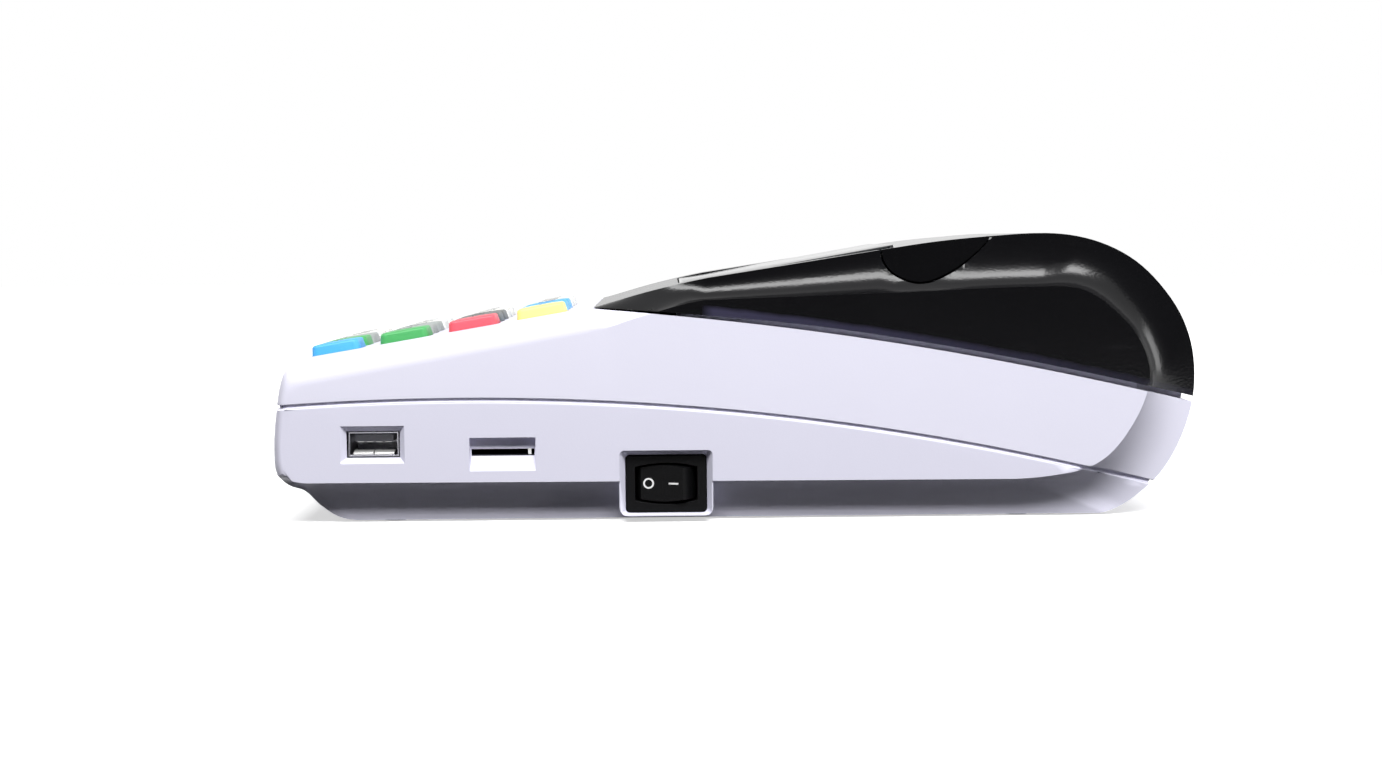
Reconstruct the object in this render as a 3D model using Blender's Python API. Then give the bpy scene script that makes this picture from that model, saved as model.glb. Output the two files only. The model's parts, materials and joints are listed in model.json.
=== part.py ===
"""A portable ticket register: two-part white case, smoked cover, sloping keyboard, drop-in ticket printer.

Metres, +Z up. +X points to the printer end, -X to the keyboard, -Y to the side with the rocker switch.
The origin lies under the middle of the case, on the surface that the feet stand on.
"""
import math

import bmesh
import bpy
from mathutils import Matrix, Vector

# Overall sizes
LENGTH = 0.2405
HEIGHT = 0.0740
WIDTH = 0.1050

# Case walls and the joints between the three shells
WALL = 0.0022
GAP = 0.0003
SEAM = 0.0010
LIP_WALL = 0.0015
LIP_RISE = 0.0028
LIP_ROOT = 0.0035
OVERRUN = 0.0200
DECK_ROLL = 0.0065
FRONT_ROLL = 0.0050
BASE_COVE = 0.0070
LID_COVE = 0.0060
REAR_COVE = 0.0080
BASE_LIFT = 0.0005
TONGUE_START = 0.0220

# Parting line between the cases, a parabola: its peak and how far it falls at the rear end
PARTING_PEAK_SHARES = (-0.300, 0.436)
PARTING_FALL_SHARE = 0.362
# Top edge of the white case under the cover: height at the lid's nose, straight fall and curved fall
LID_NOSE_SHARE = -0.160
LEDGE_START_SHARE = 0.750
LEDGE_STRAIGHT_FALL_SHARE = 0.162
LEDGE_CURVED_FALL_SHARE = 0.190
COVER_SEAM = 0.0015
COVER_SEAM_RUN = 0.0600

# Outline stations, counter-clockwise from the front of the base: silhouette x and z, then side panel x and z,
# x as a share of LENGTH from the middle and z as a share of HEIGHT; then the steps to the next station
BASE_SHARES = ((-0.412, 0.007, -0.450, 0.150, 1), (0.397, 0.007, 0.300, 0.142, 2))
REAR_SHARES = (
    (0.420, 0.031, 0.350, 0.158, 1), (0.441, 0.078, 0.379, 0.181, 1), (0.463, 0.146, 0.400, 0.223, 1),
    (0.482, 0.246, 0.420, 0.300, 1), (0.497, 0.390, 0.439, 0.419, 1), (0.500, 0.500, 0.444, 0.500, 1),
    (0.496, 0.610, 0.438, 0.590, 2), (0.484, 0.713, 0.427, 0.655, 2), (0.461, 0.820, 0.408, 0.722, 2),
    (0.435, 0.900, 0.387, 0.778, 2), (0.405, 0.955, 0.368, 0.806, 2), (0.372, 0.988, 0.350, 0.814, 1))
LID_SHARES = (
    (0.336, 1.000, 0.325, 0.814, 2), (0.277, 0.991, 0.277, 0.811, 1), (0.216, 0.973, 0.216, 0.803, 1),
    (0.156, 0.945, 0.156, 0.796, 1), (-0.030, 0.853, -0.035, 0.777, 1))
NOSE_SHARES = ((-0.095, 0.806, -0.100, 0.724, 1),)
DECK_SHARES = ((-0.160, 0.748, -0.160, 0.663, 1), (-0.4705, 0.578, -0.467, 0.486, 2))
FRONT_SHARES = (
    (-0.484, 0.558, -0.478, 0.466, 2), (-0.4915, 0.500, -0.484, 0.420, 2), (-0.4965, 0.405, -0.487, 0.365, 1),
    (-0.500, 0.270, -0.489, 0.243, 2), (-0.497, 0.172, -0.486, 0.186, 2))
TUCK_SHARES = (
    (-0.487, 0.134, -0.478, 0.158, 2), (-0.470, 0.114, -0.470, 0.151, 1), (-0.453, 0.062, -0.462, 0.150, 1),
    (-0.432, 0.018, -0.456, 0.150, 1))
CORNER_STEPS = 4
CURVE_STEPS = 24
WELD = GAP / 100.0
SMOOTH_ANGLE = 32.0

# Keys: four rows along the deck, five columns across it
KEY_ROWS = 4
KEY_COLUMNS = 5
KEY_LENGTH = 0.0132
KEY_WIDTH = 0.0122
KEY_RISE = 0.0029
KEY_TAPER = 0.0006
KEY_ROUND = 0.0018
KEY_ROUND_STEPS = 3
KEY_TOP_ROUND = 0.0006
KEY_ROW_PITCH = 0.0184
KEY_COLUMN_PITCH = 0.0153
KEY_FIRST = 0.0143
KEY_SLOT = 0.0003
KEY_FLANGE = 0.0008
KEY_FLANGE_THICK = 0.0010
KEY_TRAVEL = 0.0016

# Rubber mat and keypad board under the deck
MAT_THICK = 0.0012
KEYPAD_THICK = 0.0016
MAT_MARGIN = 0.0010
KEYPAD_POST = 0.0022
KEYPAD_POST_INSET = 0.0040

# Display: lens seated in a rebate of the cover, display module beneath
LENS_START = 0.0085
LENS_LENGTH = 0.0580
LENS_SIDE = 0.0165
LENS_WIDTH = WIDTH - LENS_SIDE - LENS_SIDE
LENS_THICK = 0.0015
LENS_PROUD = 0.0005
LENS_LEDGE = 0.0030
LENS_ROUND = 0.0030
DISPLAY_THICK = 0.0050
DISPLAY_MARGIN = 0.0030

# Paper door: half-moon ears at its front, narrower plate behind, hinged at the rear
MOON_SHARES = ((0.000, 1.000), (0.020, 0.700), (0.110, 0.330), (0.360, 0.000), (0.620, 0.180), (0.870, 0.640),
               (1.000, 1.000))
MOON_FRONT_SHARE = 0.156
MOON_LENGTH = 0.0292
MOON_DEPTH = 0.0100
MOON_SLOPE_SHARE = 0.105
MOON_STEPS = 3
EAR_GAP = 0.0006
EAR_REACH = 0.0004
DOOR_WALL = 0.0024
DOOR_SIDE = 0.0145
DOOR_WIDTH = WIDTH - DOOR_SIDE - DOOR_SIDE
DOOR_SIDE_GAP = 0.0005
HINGE_SHARE = 0.461
HINGE_DEPTH = 0.0032
BARREL_RADIUS = 0.0028
BARREL_CLEAR = 0.0043
HINGE_PIN_RADIUS = 0.0011
KNUCKLE_SIDE = 0.0030
KNUCKLE_WIDTH = 0.0060
KNUCKLE_HALF = DOOR_WIDTH / 2.0 - KNUCKLE_SIDE
BARREL_HALF = KNUCKLE_HALF - KNUCKLE_WIDTH
HINGE_SIDES = 20

# Printer: platen carried by the door, head and drive carried by the frame
PLATEN_DROP = 0.0112
PLATEN_BACK = 0.0052
PLATEN_RADIUS = 0.0045
PLATEN_HALF = 0.0285
SHAFT_RADIUS = 0.0015
ARM_THICK = 0.0022
ARM_HALF_LENGTH = 0.0030
FRAME_PLATE = 0.0014
FRAME_FRONT_RUN = 0.0260
FRAME_REAR_RUN = 0.0090
FRAME_BASE = 0.0200
FRAME_TOP_OVER = 0.0010
NOTCH_CLEAR = 0.0005
HEAD_THICK = 0.0020
HEAD_RISE = 0.0055
HEAD_DROP = 0.0095
SPRING_DROP_SHARE = 0.33
SPRING_RADIUS = 0.0022
SPRING_WIRE_SIDES = 12
GEAR_MODULE = 0.0006
PLATEN_TEETH = 20
IDLER_TEETH = 26
PINION_TEETH = 12
GEAR_THICK = 0.0026
TOOTH_SHARE = 0.36
TOOTH_TIP_SHARE = 0.62
ADDENDUM_SHARE = 0.80
DEDENDUM_SHARE = 1.15
ROOT_SPREAD_SHARE = 1.25
IDLER_ANGLE = -114.0
PINION_ANGLE = -152.0
IDLER_PIN_RADIUS = 0.0012
MOTOR_RADIUS = 0.0095
MOTOR_LENGTH = 0.0230
MOTOR_SHAFT_RADIUS = 0.0010
MOTOR_CLEAR = 0.0042
SPRING_GAP = 0.0030
ROUND_SIDES = 32
SMALL_SIDES = 12
TEAR_HEIGHT = 0.0032
TEAR_THICK = 0.0006
TEAR_TOOTH = 0.0020

# Paper roll and its bin
ROLL_RADIUS = 0.0240
ROLL_WIDTH = 0.0570
ROLL_BORE = 0.0062
ROLL_BEHIND = 0.0460
ROLL_HEIGHT = 0.0395
BIN_RADIUS = 0.0256
BIN_WALL = 0.0015
BIN_SIDE_GAP = 0.0010
BIN_TOP = 0.0480
BIN_STEPS = 20
BIN_LEG = 0.0040

# Boards, battery, sockets and switch
BOARD_TOP = 0.0173
BOARD_THICK = 0.0016
BOARD_END = 0.01225
BOARD_LENGTH = 0.1235
BOARD_SIDE = 0.0055
BOARD_FRONT = LENGTH / 2.0 - BOARD_END
BOARD_REAR = BOARD_LENGTH - BOARD_FRONT
BOARD_HALF = WIDTH / 2.0 - BOARD_SIDE
POST_RADIUS = 0.0026
USB_FROM_FRONT = 0.02605
USB_PLACE = USB_FROM_FRONT - LENGTH / 2.0
USB_WINDOW = 0.0138
USB_WINDOW_HEIGHT = 0.0070
USB_WIDTH = 0.0132
USB_HEIGHT = 0.0066
USB_DEPTH = 0.0140
USB_METAL = 0.0005
USB_TONGUE = 0.0010
USB_CHAMFER = 0.0011
CARD_FROM_FRONT = 0.05955
CARD_PLACE = CARD_FROM_FRONT - LENGTH / 2.0
CARD_WIDTH = 0.0171
CARD_TOP = 0.0223
CARD_BOTTOM = 0.0138
CARD_RECESS = 0.0016
CARD_SLOT = 0.0163
CARD_SLOT_HEIGHT = 0.0018
CARD_DEPTH = 0.0160
SWITCH_FROM_FRONT = 0.10175
SWITCH_PLACE = SWITCH_FROM_FRONT - LENGTH / 2.0
SWITCH_HEIGHT = 0.0099
BEZEL_LENGTH = 0.0210
BEZEL_HEIGHT = 0.0150
BEZEL_THICK = 0.0018
BEZEL_SINK = 0.0020
BEZEL_ROUND = 0.0006
BODY_LENGTH = 0.0192
BODY_HEIGHT = 0.0130
BODY_DEPTH = 0.0160
POCKET_LENGTH = 0.0243
POCKET_HEIGHT = 0.0176
POCKET_ROUND = 0.0020
POCKET_SINK = 0.0004
POCKET_LIFT = 0.00055
MOUTH_LENGTH = 0.0241
MOUTH_HEIGHT = 0.0170
MOUTH_LIFT = 0.0004
MOUTH_ROUND = 0.0012
ROCKER_SWEEP = 0.0078
ROCKER_VALLEY = 0.0046
ROCKER_CORNER = 44.0
ROCKER_END = -8.0
ROCKER_TALL = 0.0051
ROCKER_FALL = 0.0010
ROCKER_STEPS = 6
HUB_START = -30.0
ROCKER_PIVOT_DEPTH = 0.0050
ROCKER_TILT = 12.0
ROCKER_HUB = 0.0036
CAVITY_DEPTH = 0.0105
BATTERY_FROM_FRONT = 0.03825
BATTERY_START = BATTERY_FROM_FRONT - LENGTH / 2.0
BATTERY_LENGTH = 0.0460
BATTERY_WIDTH = 0.0560
BATTERY_TOP = 0.0138
HATCH_MARGIN = 0.0020
JACK_FROM_FRONT = 0.06025
JACK_PLACE = JACK_FROM_FRONT - LENGTH / 2.0
JACK_WIDTH = 0.0090
JACK_HEIGHT = 0.0100
JACK_DEPTH = 0.0130
JACK_BORE = 0.0032
JACK_PIN = 0.0009

# Feet and case screws
FOOT_RADIUS = 0.0050
FOOT_THICK = 0.0010
FOOT_RECESS = 0.0008
FOOT_FROM_FRONT = 0.03025
FOOT_FROM_REAR = 0.04625
FOOT_SIDE = 0.0145
FOOT_PLACES = (FOOT_FROM_FRONT - LENGTH / 2.0, LENGTH / 2.0 - FOOT_FROM_REAR)
FOOT_HALF_SPAN = WIDTH / 2.0 - FOOT_SIDE
SCREW_FROM_FRONT = 0.04205
SCREW_FROM_REAR = 0.05825
SCREW_SIDE = 0.0109
SCREW_PLACES = (SCREW_FROM_FRONT - LENGTH / 2.0, LENGTH / 2.0 - SCREW_FROM_REAR)
SCREW_HALF_SPAN = WIDTH / 2.0 - SCREW_SIDE
SCREW_RADIUS = 0.0015
SCREW_HEAD = 0.0028
SCREW_HEAD_THICK = 0.0020
SCREW_SINK = 0.0015
SCREW_LENGTH = 0.0200
BOSS_RADIUS = 0.0037
BOSS_TOP = 0.0140
BOSS_REACH = 0.0130
BOSS_WEB = 0.0020

# Colours: red, green, blue, then roughness and metallic
WHITE = (0.82, 0.81, 0.90, 0.45, 0.0)
SMOKED = (0.010, 0.010, 0.013, 0.12, 0.0)
BLACK = (0.012, 0.012, 0.012, 0.40, 0.0)
RUBBER = (0.03, 0.03, 0.03, 0.80, 0.0)
STEEL = (0.45, 0.45, 0.47, 0.30, 1.0)
BRASS = (0.60, 0.43, 0.18, 0.35, 1.0)
BOARD_GREEN = (0.02, 0.16, 0.07, 0.50, 0.0)
NYLON = (0.78, 0.78, 0.74, 0.50, 0.0)
PAPER = (0.86, 0.86, 0.84, 0.85, 0.0)
LCD_GREY = (0.32, 0.38, 0.34, 0.25, 0.0)
KEY_BLUE = (0.098, 0.440, 0.863, 0.55, 0.0)
KEY_GREEN = (0.089, 0.434, 0.130, 0.55, 0.0)
KEY_RED = (0.863, 0.127, 0.153, 0.55, 0.0)
KEY_YELLOW = (1.000, 0.947, 0.319, 0.55, 0.0)
KEY_GREY = (0.347, 0.386, 0.371, 0.55, 0.0)
KEY_DARK = (0.231, 0.238, 0.227, 0.55, 0.0)
KEY_WHITE = (0.78, 0.78, 0.80, 0.55, 0.0)
KEY_COLOURS = (
    (KEY_BLUE, KEY_GREEN, KEY_GREY, KEY_WHITE, KEY_WHITE),
    (KEY_GREEN, KEY_GREY, KEY_GREY, KEY_WHITE, KEY_WHITE),
    (KEY_RED, KEY_DARK, KEY_DARK, KEY_WHITE, KEY_WHITE),
    (KEY_YELLOW, KEY_BLUE, KEY_BLUE, KEY_WHITE, KEY_WHITE))


# Scene and mesh helpers

def clear_scene():
    """Remove every object that the new file starts with."""
    for old in list(bpy.data.objects):
        bpy.data.objects.remove(old, do_unlink=True)


def paint(piece, colour):
    """Give a piece its own Principled material."""
    material = bpy.data.materials.new(piece.name)
    material.use_nodes = True
    shader = material.node_tree.nodes["Principled BSDF"]
    shader.inputs["Base Color"].default_value = (*colour[:3], 1.0)
    shader.inputs["Roughness"].default_value = colour[3]
    shader.inputs["Metallic"].default_value = colour[4]
    piece.data.materials.clear()
    piece.data.materials.append(material)


def solid(name, corners, faces):
    """A closed mesh object from its corners and faces, with faces turned outwards."""
    mesh = bpy.data.meshes.new(name)
    mesh.from_pydata([tuple(corner) for corner in corners], [], faces)
    shape = bmesh.new()
    shape.from_mesh(mesh)
    bmesh.ops.recalc_face_normals(shape, faces=shape.faces)
    shape.to_mesh(mesh)
    shape.free()
    piece = bpy.data.objects.new(name, mesh)
    bpy.context.scene.collection.objects.link(piece)
    return piece


def loft(name, rings):
    """Skin a list of equally long corner rings and cap both ends."""
    count = len(rings[0])
    corners = [corner for ring in rings for corner in ring]
    faces = [tuple(range(count)), tuple(range(len(corners) - count, len(corners)))]
    for level in range(len(rings) - 1):
        for index in range(count):
            following = (index + 1) % count
            low, high = level * count, (level + 1) * count
            faces.append((low + index, low + following, high + following, high + index))
    return solid(name, corners, faces)


def slab(name, outline, near, far):
    """Extrude an XZ outline along Y."""
    return loft(name, [[(x, y, z) for x, z in outline] for y in (near, far)])


def plate(name, outline, low, high):
    """Extrude an XY outline along Z."""
    return loft(name, [[(x, y, z) for x, y in outline] for z in (low, high)])


def box(name, x_range, y_range, z_range):
    """An axis-aligned box."""
    (x0, x1), (y0, y1), (z0, z1) = x_range, y_range, z_range
    return plate(name, [(x0, y0), (x1, y0), (x1, y1), (x0, y1)], z0, z1)


def circle(centre, radius, sides, phase=0.0):
    """Points of a regular polygon round a centre."""
    turns = [phase + 2.0 * math.pi * index / sides for index in range(sides)]
    return [(centre[0] + radius * math.cos(turn), centre[1] + radius * math.sin(turn)) for turn in turns]


def rod_y(name, centre, radius, near, far, sides):
    """A round bar along Y through an XZ centre."""
    return slab(name, circle(centre, radius, sides), near, far)


def rod_z(name, centre, radius, low, high, sides):
    """A round bar along Z through an XY centre."""
    return plate(name, circle(centre, radius, sides), low, high)


def rounded(half_x, half_y, radius, steps):
    """A rectangle with round corners, centred on the origin."""
    points = []
    for quarter, (side_x, side_y) in enumerate(((1, 1), (-1, 1), (-1, -1), (1, -1))):
        for step in range(steps + 1):
            turn = math.pi / 2.0 * (quarter + step / steps)
            points.append((side_x * (half_x - radius) + radius * math.cos(turn),
                           side_y * (half_y - radius) + radius * math.sin(turn)))
    return points


def combine(piece, tool, operation):
    """Apply one exact Boolean and drop the tool."""
    step = piece.modifiers.new(operation, "BOOLEAN")
    step.operation = operation
    step.solver = "EXACT"
    step.object = tool
    tool.hide_render = True
    tool.display_type = "WIRE"
    bpy.context.view_layer.update()
    evaluated = piece.evaluated_get(bpy.context.evaluated_depsgraph_get())
    result = bpy.data.meshes.new_from_object(evaluated)
    piece.modifiers.remove(step)
    piece.data = result
    bpy.data.objects.remove(tool, do_unlink=True)
    return piece


def cut(piece, *tools):
    """Take tools away from a piece."""
    for tool in tools:
        combine(piece, tool, "DIFFERENCE")
    return piece


def join(piece, *tools):
    """Unite tools with a piece."""
    for tool in tools:
        combine(piece, tool, "UNION")
    return piece


def keep(piece, tool):
    """Keep the part of a piece that lies inside a tool."""
    return combine(piece, tool, "INTERSECT")


def tilt(piece, slope, place):
    """Turn a mesh drawn in a sloping plane's own frame and set it down at a place."""
    piece.data.transform(Matrix.Translation(Vector(place)) @ Matrix.Rotation(-slope, 4, "Y"))
    return piece


def finish(piece, colour, smooth=None):
    """Merge stray corners, shade and paint a finished piece."""
    shape = bmesh.new()
    shape.from_mesh(piece.data)
    bmesh.ops.remove_doubles(shape, verts=shape.verts, dist=WELD)
    bmesh.ops.dissolve_degenerate(shape, edges=shape.edges, dist=WELD)
    shape.to_mesh(piece.data)
    shape.free()
    if smooth:
        piece.data.shade_smooth()
        piece.data.set_sharp_from_angle(angle=math.radians(smooth))
    paint(piece, colour)
    return piece


def pivot(piece, place):
    """Move a piece's origin onto its joint axis without moving the piece."""
    piece.data.transform(Matrix.Translation(-Vector(place)))
    piece.location = place
    return piece


# Case envelope

def smooth_point(before, start, end, after, share):
    """A point on a smooth curve from start to end whose ends lean towards the neighbouring stretches."""
    before, start, end, after = (Vector(place) for place in (before, start, end, after))
    run = (end - start).length
    lean_in = ((start - before).normalized() + (end - start).normalized()).normalized() * run
    lean_out = ((end - start).normalized() + (after - end).normalized()).normalized() * run
    left = 1.0 - share
    return tuple(start * (left * left * (1.0 + 2.0 * share)) + end * (share * share * (3.0 - 2.0 * share))
                 + lean_in * (share * left * left) - lean_out * (share * share * left))


def stations():
    """All outline stations with their corner size and cove share (0 rounded over, 1 hollowed)."""
    regions = ((BASE_SHARES, BASE_COVE, 1.0), (REAR_SHARES, REAR_COVE, 1.0), (LID_SHARES, LID_COVE, 1.0),
               (NOSE_SHARES, LID_COVE, 0.5), (DECK_SHARES, DECK_ROLL, 0.0), (FRONT_SHARES, FRONT_ROLL, 0.0),
               (TUCK_SHARES, BASE_COVE, 1.0))
    return [((sx * LENGTH, sz * HEIGHT, px * LENGTH, pz * HEIGHT, corner, cove), steps)
            for shares, corner, cove in regions for sx, sz, px, pz, steps in shares]


def outline_points():
    """The stations with the smooth stretches between them filled in."""
    table = stations()
    count = len(table)
    points = []
    for index, (start, steps) in enumerate(table):
        near = [table[(index + shift) % count][0] for shift in (-1, 0, 1, 2)]
        for step in range(steps):
            share = step / steps
            crown = smooth_point(*(place[:2] for place in near), share)
            panel = smooth_point(*(place[2:4] for place in near), share)
            corner = start[4] + (near[2][4] - start[4]) * share
            cove = start[5] + (near[2][5] - start[5]) * share
            points.append((*crown, *panel, corner, cove))
    return points


def shrink(path, inset):
    """Move a closed XZ path inwards, corner by corner."""
    count = len(path)
    moved = []
    for index, (x, z) in enumerate(path):
        before, after = path[index - 1], path[(index + 1) % count]
        run = Vector((after[0] - before[0], after[1] - before[1])).normalized()
        moved.append((x - run.y * inset, z + run.x * inset))
    return moved


def envelope(name, inset=0.0):
    """The whole case as one closed body, moved inwards by an inset."""
    points = outline_points()
    crown = shrink([(p[0], p[1]) for p in points], inset)
    panel = shrink([(p[2], p[3]) for p in points], inset)
    half_rings = []
    for step in range(CORNER_STEPS + 1):
        turn = math.pi / 2.0 * step / CORNER_STEPS
        ring = []
        for outer, inner, point in zip(crown, panel, points):
            corner, cove = point[4], point[5]
            depth = corner * ((1.0 - cove) * (1.0 - math.cos(turn)) + cove * math.sin(turn))
            reach = (1.0 - cove) * math.sin(turn) + cove * (1.0 - math.cos(turn))
            x = inner[0] + (outer[0] - inner[0]) * reach
            z = inner[1] + (outer[1] - inner[1]) * reach
            ring.append((x, depth - WIDTH / 2.0 + inset, z))
        half_rings.append(ring)
    far_rings = [[(x, -y, z) for x, y, z in ring] for ring in reversed(half_rings)]
    return loft(name, half_rings + far_rings)


def crown_height(x):
    """Height of the lid's or the deck's crown line above a place on X."""
    top = [(p[0], p[1]) for p in outline_points()]
    best = 0.0
    for (x0, z0), (x1, z1) in zip(top, top[1:] + top[:1]):
        if min(x0, x1) <= x <= max(x0, x1) and x0 != x1:
            best = max(best, z0 + (z1 - z0) * (x - x0) / (x1 - x0))
    return best


def parting_height(x):
    """Parting line between lower and upper case."""
    peak_x, peak_z = PARTING_PEAK_SHARES[0] * LENGTH, PARTING_PEAK_SHARES[1] * HEIGHT
    run = (x - peak_x) / (LENGTH / 2.0 - peak_x)
    return peak_z - PARTING_FALL_SHARE * HEIGHT * run * run


def ledge_height(x):
    """Top edge of the white case under the smoked cover."""
    start = LID_NOSE_SHARE * LENGTH
    run = (x - start) / (LENGTH / 2.0 - start)
    fall = LEDGE_STRAIGHT_FALL_SHARE * run + LEDGE_CURVED_FALL_SHARE * run * run
    return HEIGHT * (LEDGE_START_SHARE - fall)


def cover_foot(x):
    """Lower edge of the smoked cover, a seam above the ledge that widens from the nose."""
    share = min(1.0, max(0.0, (x - LID_NOSE_SHARE * LENGTH) / COVER_SEAM_RUN))
    return ledge_height(x) + GAP + (COVER_SEAM - GAP) * share


FRONT_END = -LENGTH / 2.0 - OVERRUN
REAR_END = LENGTH / 2.0 + OVERRUN
ROOF = HEIGHT + OVERRUN
FLOOR = -OVERRUN
NOSE = LID_NOSE_SHARE * LENGTH


def curve(height, start, end, shift=0.0):
    """Sample a height function along X."""
    places = [start + (end - start) * index / CURVE_STEPS for index in range(CURVE_STEPS + 1)]
    return [(x, height(x) + shift) for x in places]


def band(name, low, high):
    """A prism across the whole width between two XZ curves that run the same way."""
    return slab(name, low + high[::-1], -WIDTH, WIDTH)


def shell_band(name, outer, inner, low, high):
    """The part of a shell, from an outer to an inner inset, that lies between two curves."""
    piece = envelope(name, outer)
    cut(piece, envelope("inside", inner))
    return keep(piece, band("between", low, high))


def lip(name, height, start):
    """A tongue behind a seam: a root inside the wall and a thinner rise behind the next shell."""
    outer = WALL + GAP
    root = shell_band(name, WALL / 2.0, outer + LIP_WALL / 2.0, curve(height, start, REAR_END, -LIP_ROOT),
                      curve(height, start, REAR_END, -SEAM))
    behind = start + SEAM
    rise = shell_band("rise", outer, outer + LIP_WALL, curve(height, behind, REAR_END, SEAM - LIP_ROOT),
                      curve(height, behind, REAR_END, LIP_RISE))
    return join(root, rise)


# Places that several pieces share

DECK_START = Vector((DECK_SHARES[1][0] * LENGTH, 0.0, DECK_SHARES[1][1] * HEIGHT))
DECK_END = Vector((DECK_SHARES[0][0] * LENGTH, 0.0, DECK_SHARES[0][1] * HEIGHT))
DECK_SLOPE = math.atan2(DECK_END.z - DECK_START.z, DECK_END.x - DECK_START.x)
LID_START = Vector((NOSE_SHARES[0][0] * LENGTH, 0.0, NOSE_SHARES[0][1] * HEIGHT))
LID_END = Vector((LID_SHARES[3][0] * LENGTH, 0.0, LID_SHARES[3][1] * HEIGHT))
LID_SLOPE = math.atan2(LID_END.z - LID_START.z, LID_END.x - LID_START.x)
LENS_CENTRE = LENS_LENGTH / 2.0
LENS_PLACE = LID_START + Vector((math.cos(LID_SLOPE), 0.0, math.sin(LID_SLOPE))) * (
    LENS_START - (LID_START.x - NOSE) / math.cos(LID_SLOPE))
MOON_FRONT = MOON_FRONT_SHARE * LENGTH
SLOT_TOP = crown_height(MOON_FRONT)
TEAR_FRONT = MOON_FRONT - TEAR_THICK - GAP
PLATEN_X = MOON_FRONT + PLATEN_BACK
PLATEN_Z = crown_height(PLATEN_X) - PLATEN_DROP
HINGE_X = HINGE_SHARE * LENGTH
HINGE_SLOPE = math.atan2(crown_height(HINGE_X + WALL) - crown_height(HINGE_X - WALL), WALL + WALL)
HINGE = (HINGE_X + HINGE_DEPTH * math.sin(HINGE_SLOPE),
         crown_height(HINGE_X) - HINGE_DEPTH * math.cos(HINGE_SLOPE))
ROLL = (MOON_FRONT + ROLL_BEHIND, ROLL_HEIGHT)
BASE_TOP = BASE_LIFT + WALL
BEZEL_FACE = -WIDTH / 2.0 + POCKET_SINK + BEZEL_SINK
PIVOT_Y = BEZEL_FACE + ROCKER_PIVOT_DEPTH
INNER_HALF = WIDTH / 2.0 - WALL


def gear_radius(teeth):
    """Pitch radius of a gear."""
    return teeth * GEAR_MODULE / 2.0


def step_from(centre, distance, angle):
    """A place at a distance and an angle from another."""
    turn = math.radians(angle)
    return (centre[0] + distance * math.cos(turn), centre[1] + distance * math.sin(turn))


PLATEN = (PLATEN_X, PLATEN_Z)
IDLER = step_from(PLATEN, gear_radius(PLATEN_TEETH) + gear_radius(IDLER_TEETH), IDLER_ANGLE)
PINION = step_from(IDLER, gear_radius(IDLER_TEETH) + gear_radius(PINION_TEETH), PINION_ANGLE)
FRAME_INNER = PLATEN_HALF + GAP + GAP
FRAME_OUTER = FRAME_INNER + FRAME_PLATE
ARM_INNER = FRAME_OUTER + GAP
ARM_OUTER = ARM_INNER + ARM_THICK
GEAR_NEAR = ARM_OUTER + GAP
GEAR_FAR = GEAR_NEAR + GEAR_THICK


def moon(margin):
    """Outline of the half-moon grip, moved inwards by a margin, running on above the lid."""
    deep = [(MOON_FRONT + share_x * MOON_LENGTH,
             SLOT_TOP + MOON_SLOPE_SHARE * share_x * MOON_LENGTH - MOON_DEPTH * (1.0 - share_z))
            for share_x, share_z in MOON_SHARES]
    path = []
    for index in range(len(deep) - 1):
        before, after = deep[max(0, index - 1)], deep[min(len(deep) - 1, index + 2)]
        neighbours = (before, deep[index], deep[index + 1], after)
        path += [smooth_point(*neighbours, step / MOON_STEPS) for step in range(MOON_STEPS)]
    path.append(deep[-1])
    centre = (MOON_FRONT + MOON_LENGTH / 2.0, SLOT_TOP)
    reach_x = 1.0 - 2.0 * margin / MOON_LENGTH
    reach_z = 1.0 - margin / MOON_DEPTH
    path = [(centre[0] + (x - centre[0]) * reach_x, centre[1] + (z - centre[1]) * reach_z) for x, z in path]
    return path + [(path[-1][0], ROOF), (path[0][0], ROOF)]


# Case shells

def screw_places():
    """Where the four case screws stand."""
    return [(x, side * SCREW_HALF_SPAN) for x in SCREW_PLACES for side in (-1, 1)]


def lower_case():
    """Base tray up to the parting line, with its tongue, bosses, posts and windows."""
    piece = shell_band("lower_case", 0.0, WALL, [(FRONT_END, FLOOR), (REAR_END, FLOOR)],
                       curve(parting_height, FRONT_END, REAR_END, -SEAM / 2.0))
    join(piece, lip("tongue", parting_height, FRONT_END))
    add_switch_pocket(piece)
    add_base_posts(piece)
    cut_side_windows(piece)
    cut_base(piece)
    return finish(piece, WHITE, SMOOTH_ANGLE)


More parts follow.
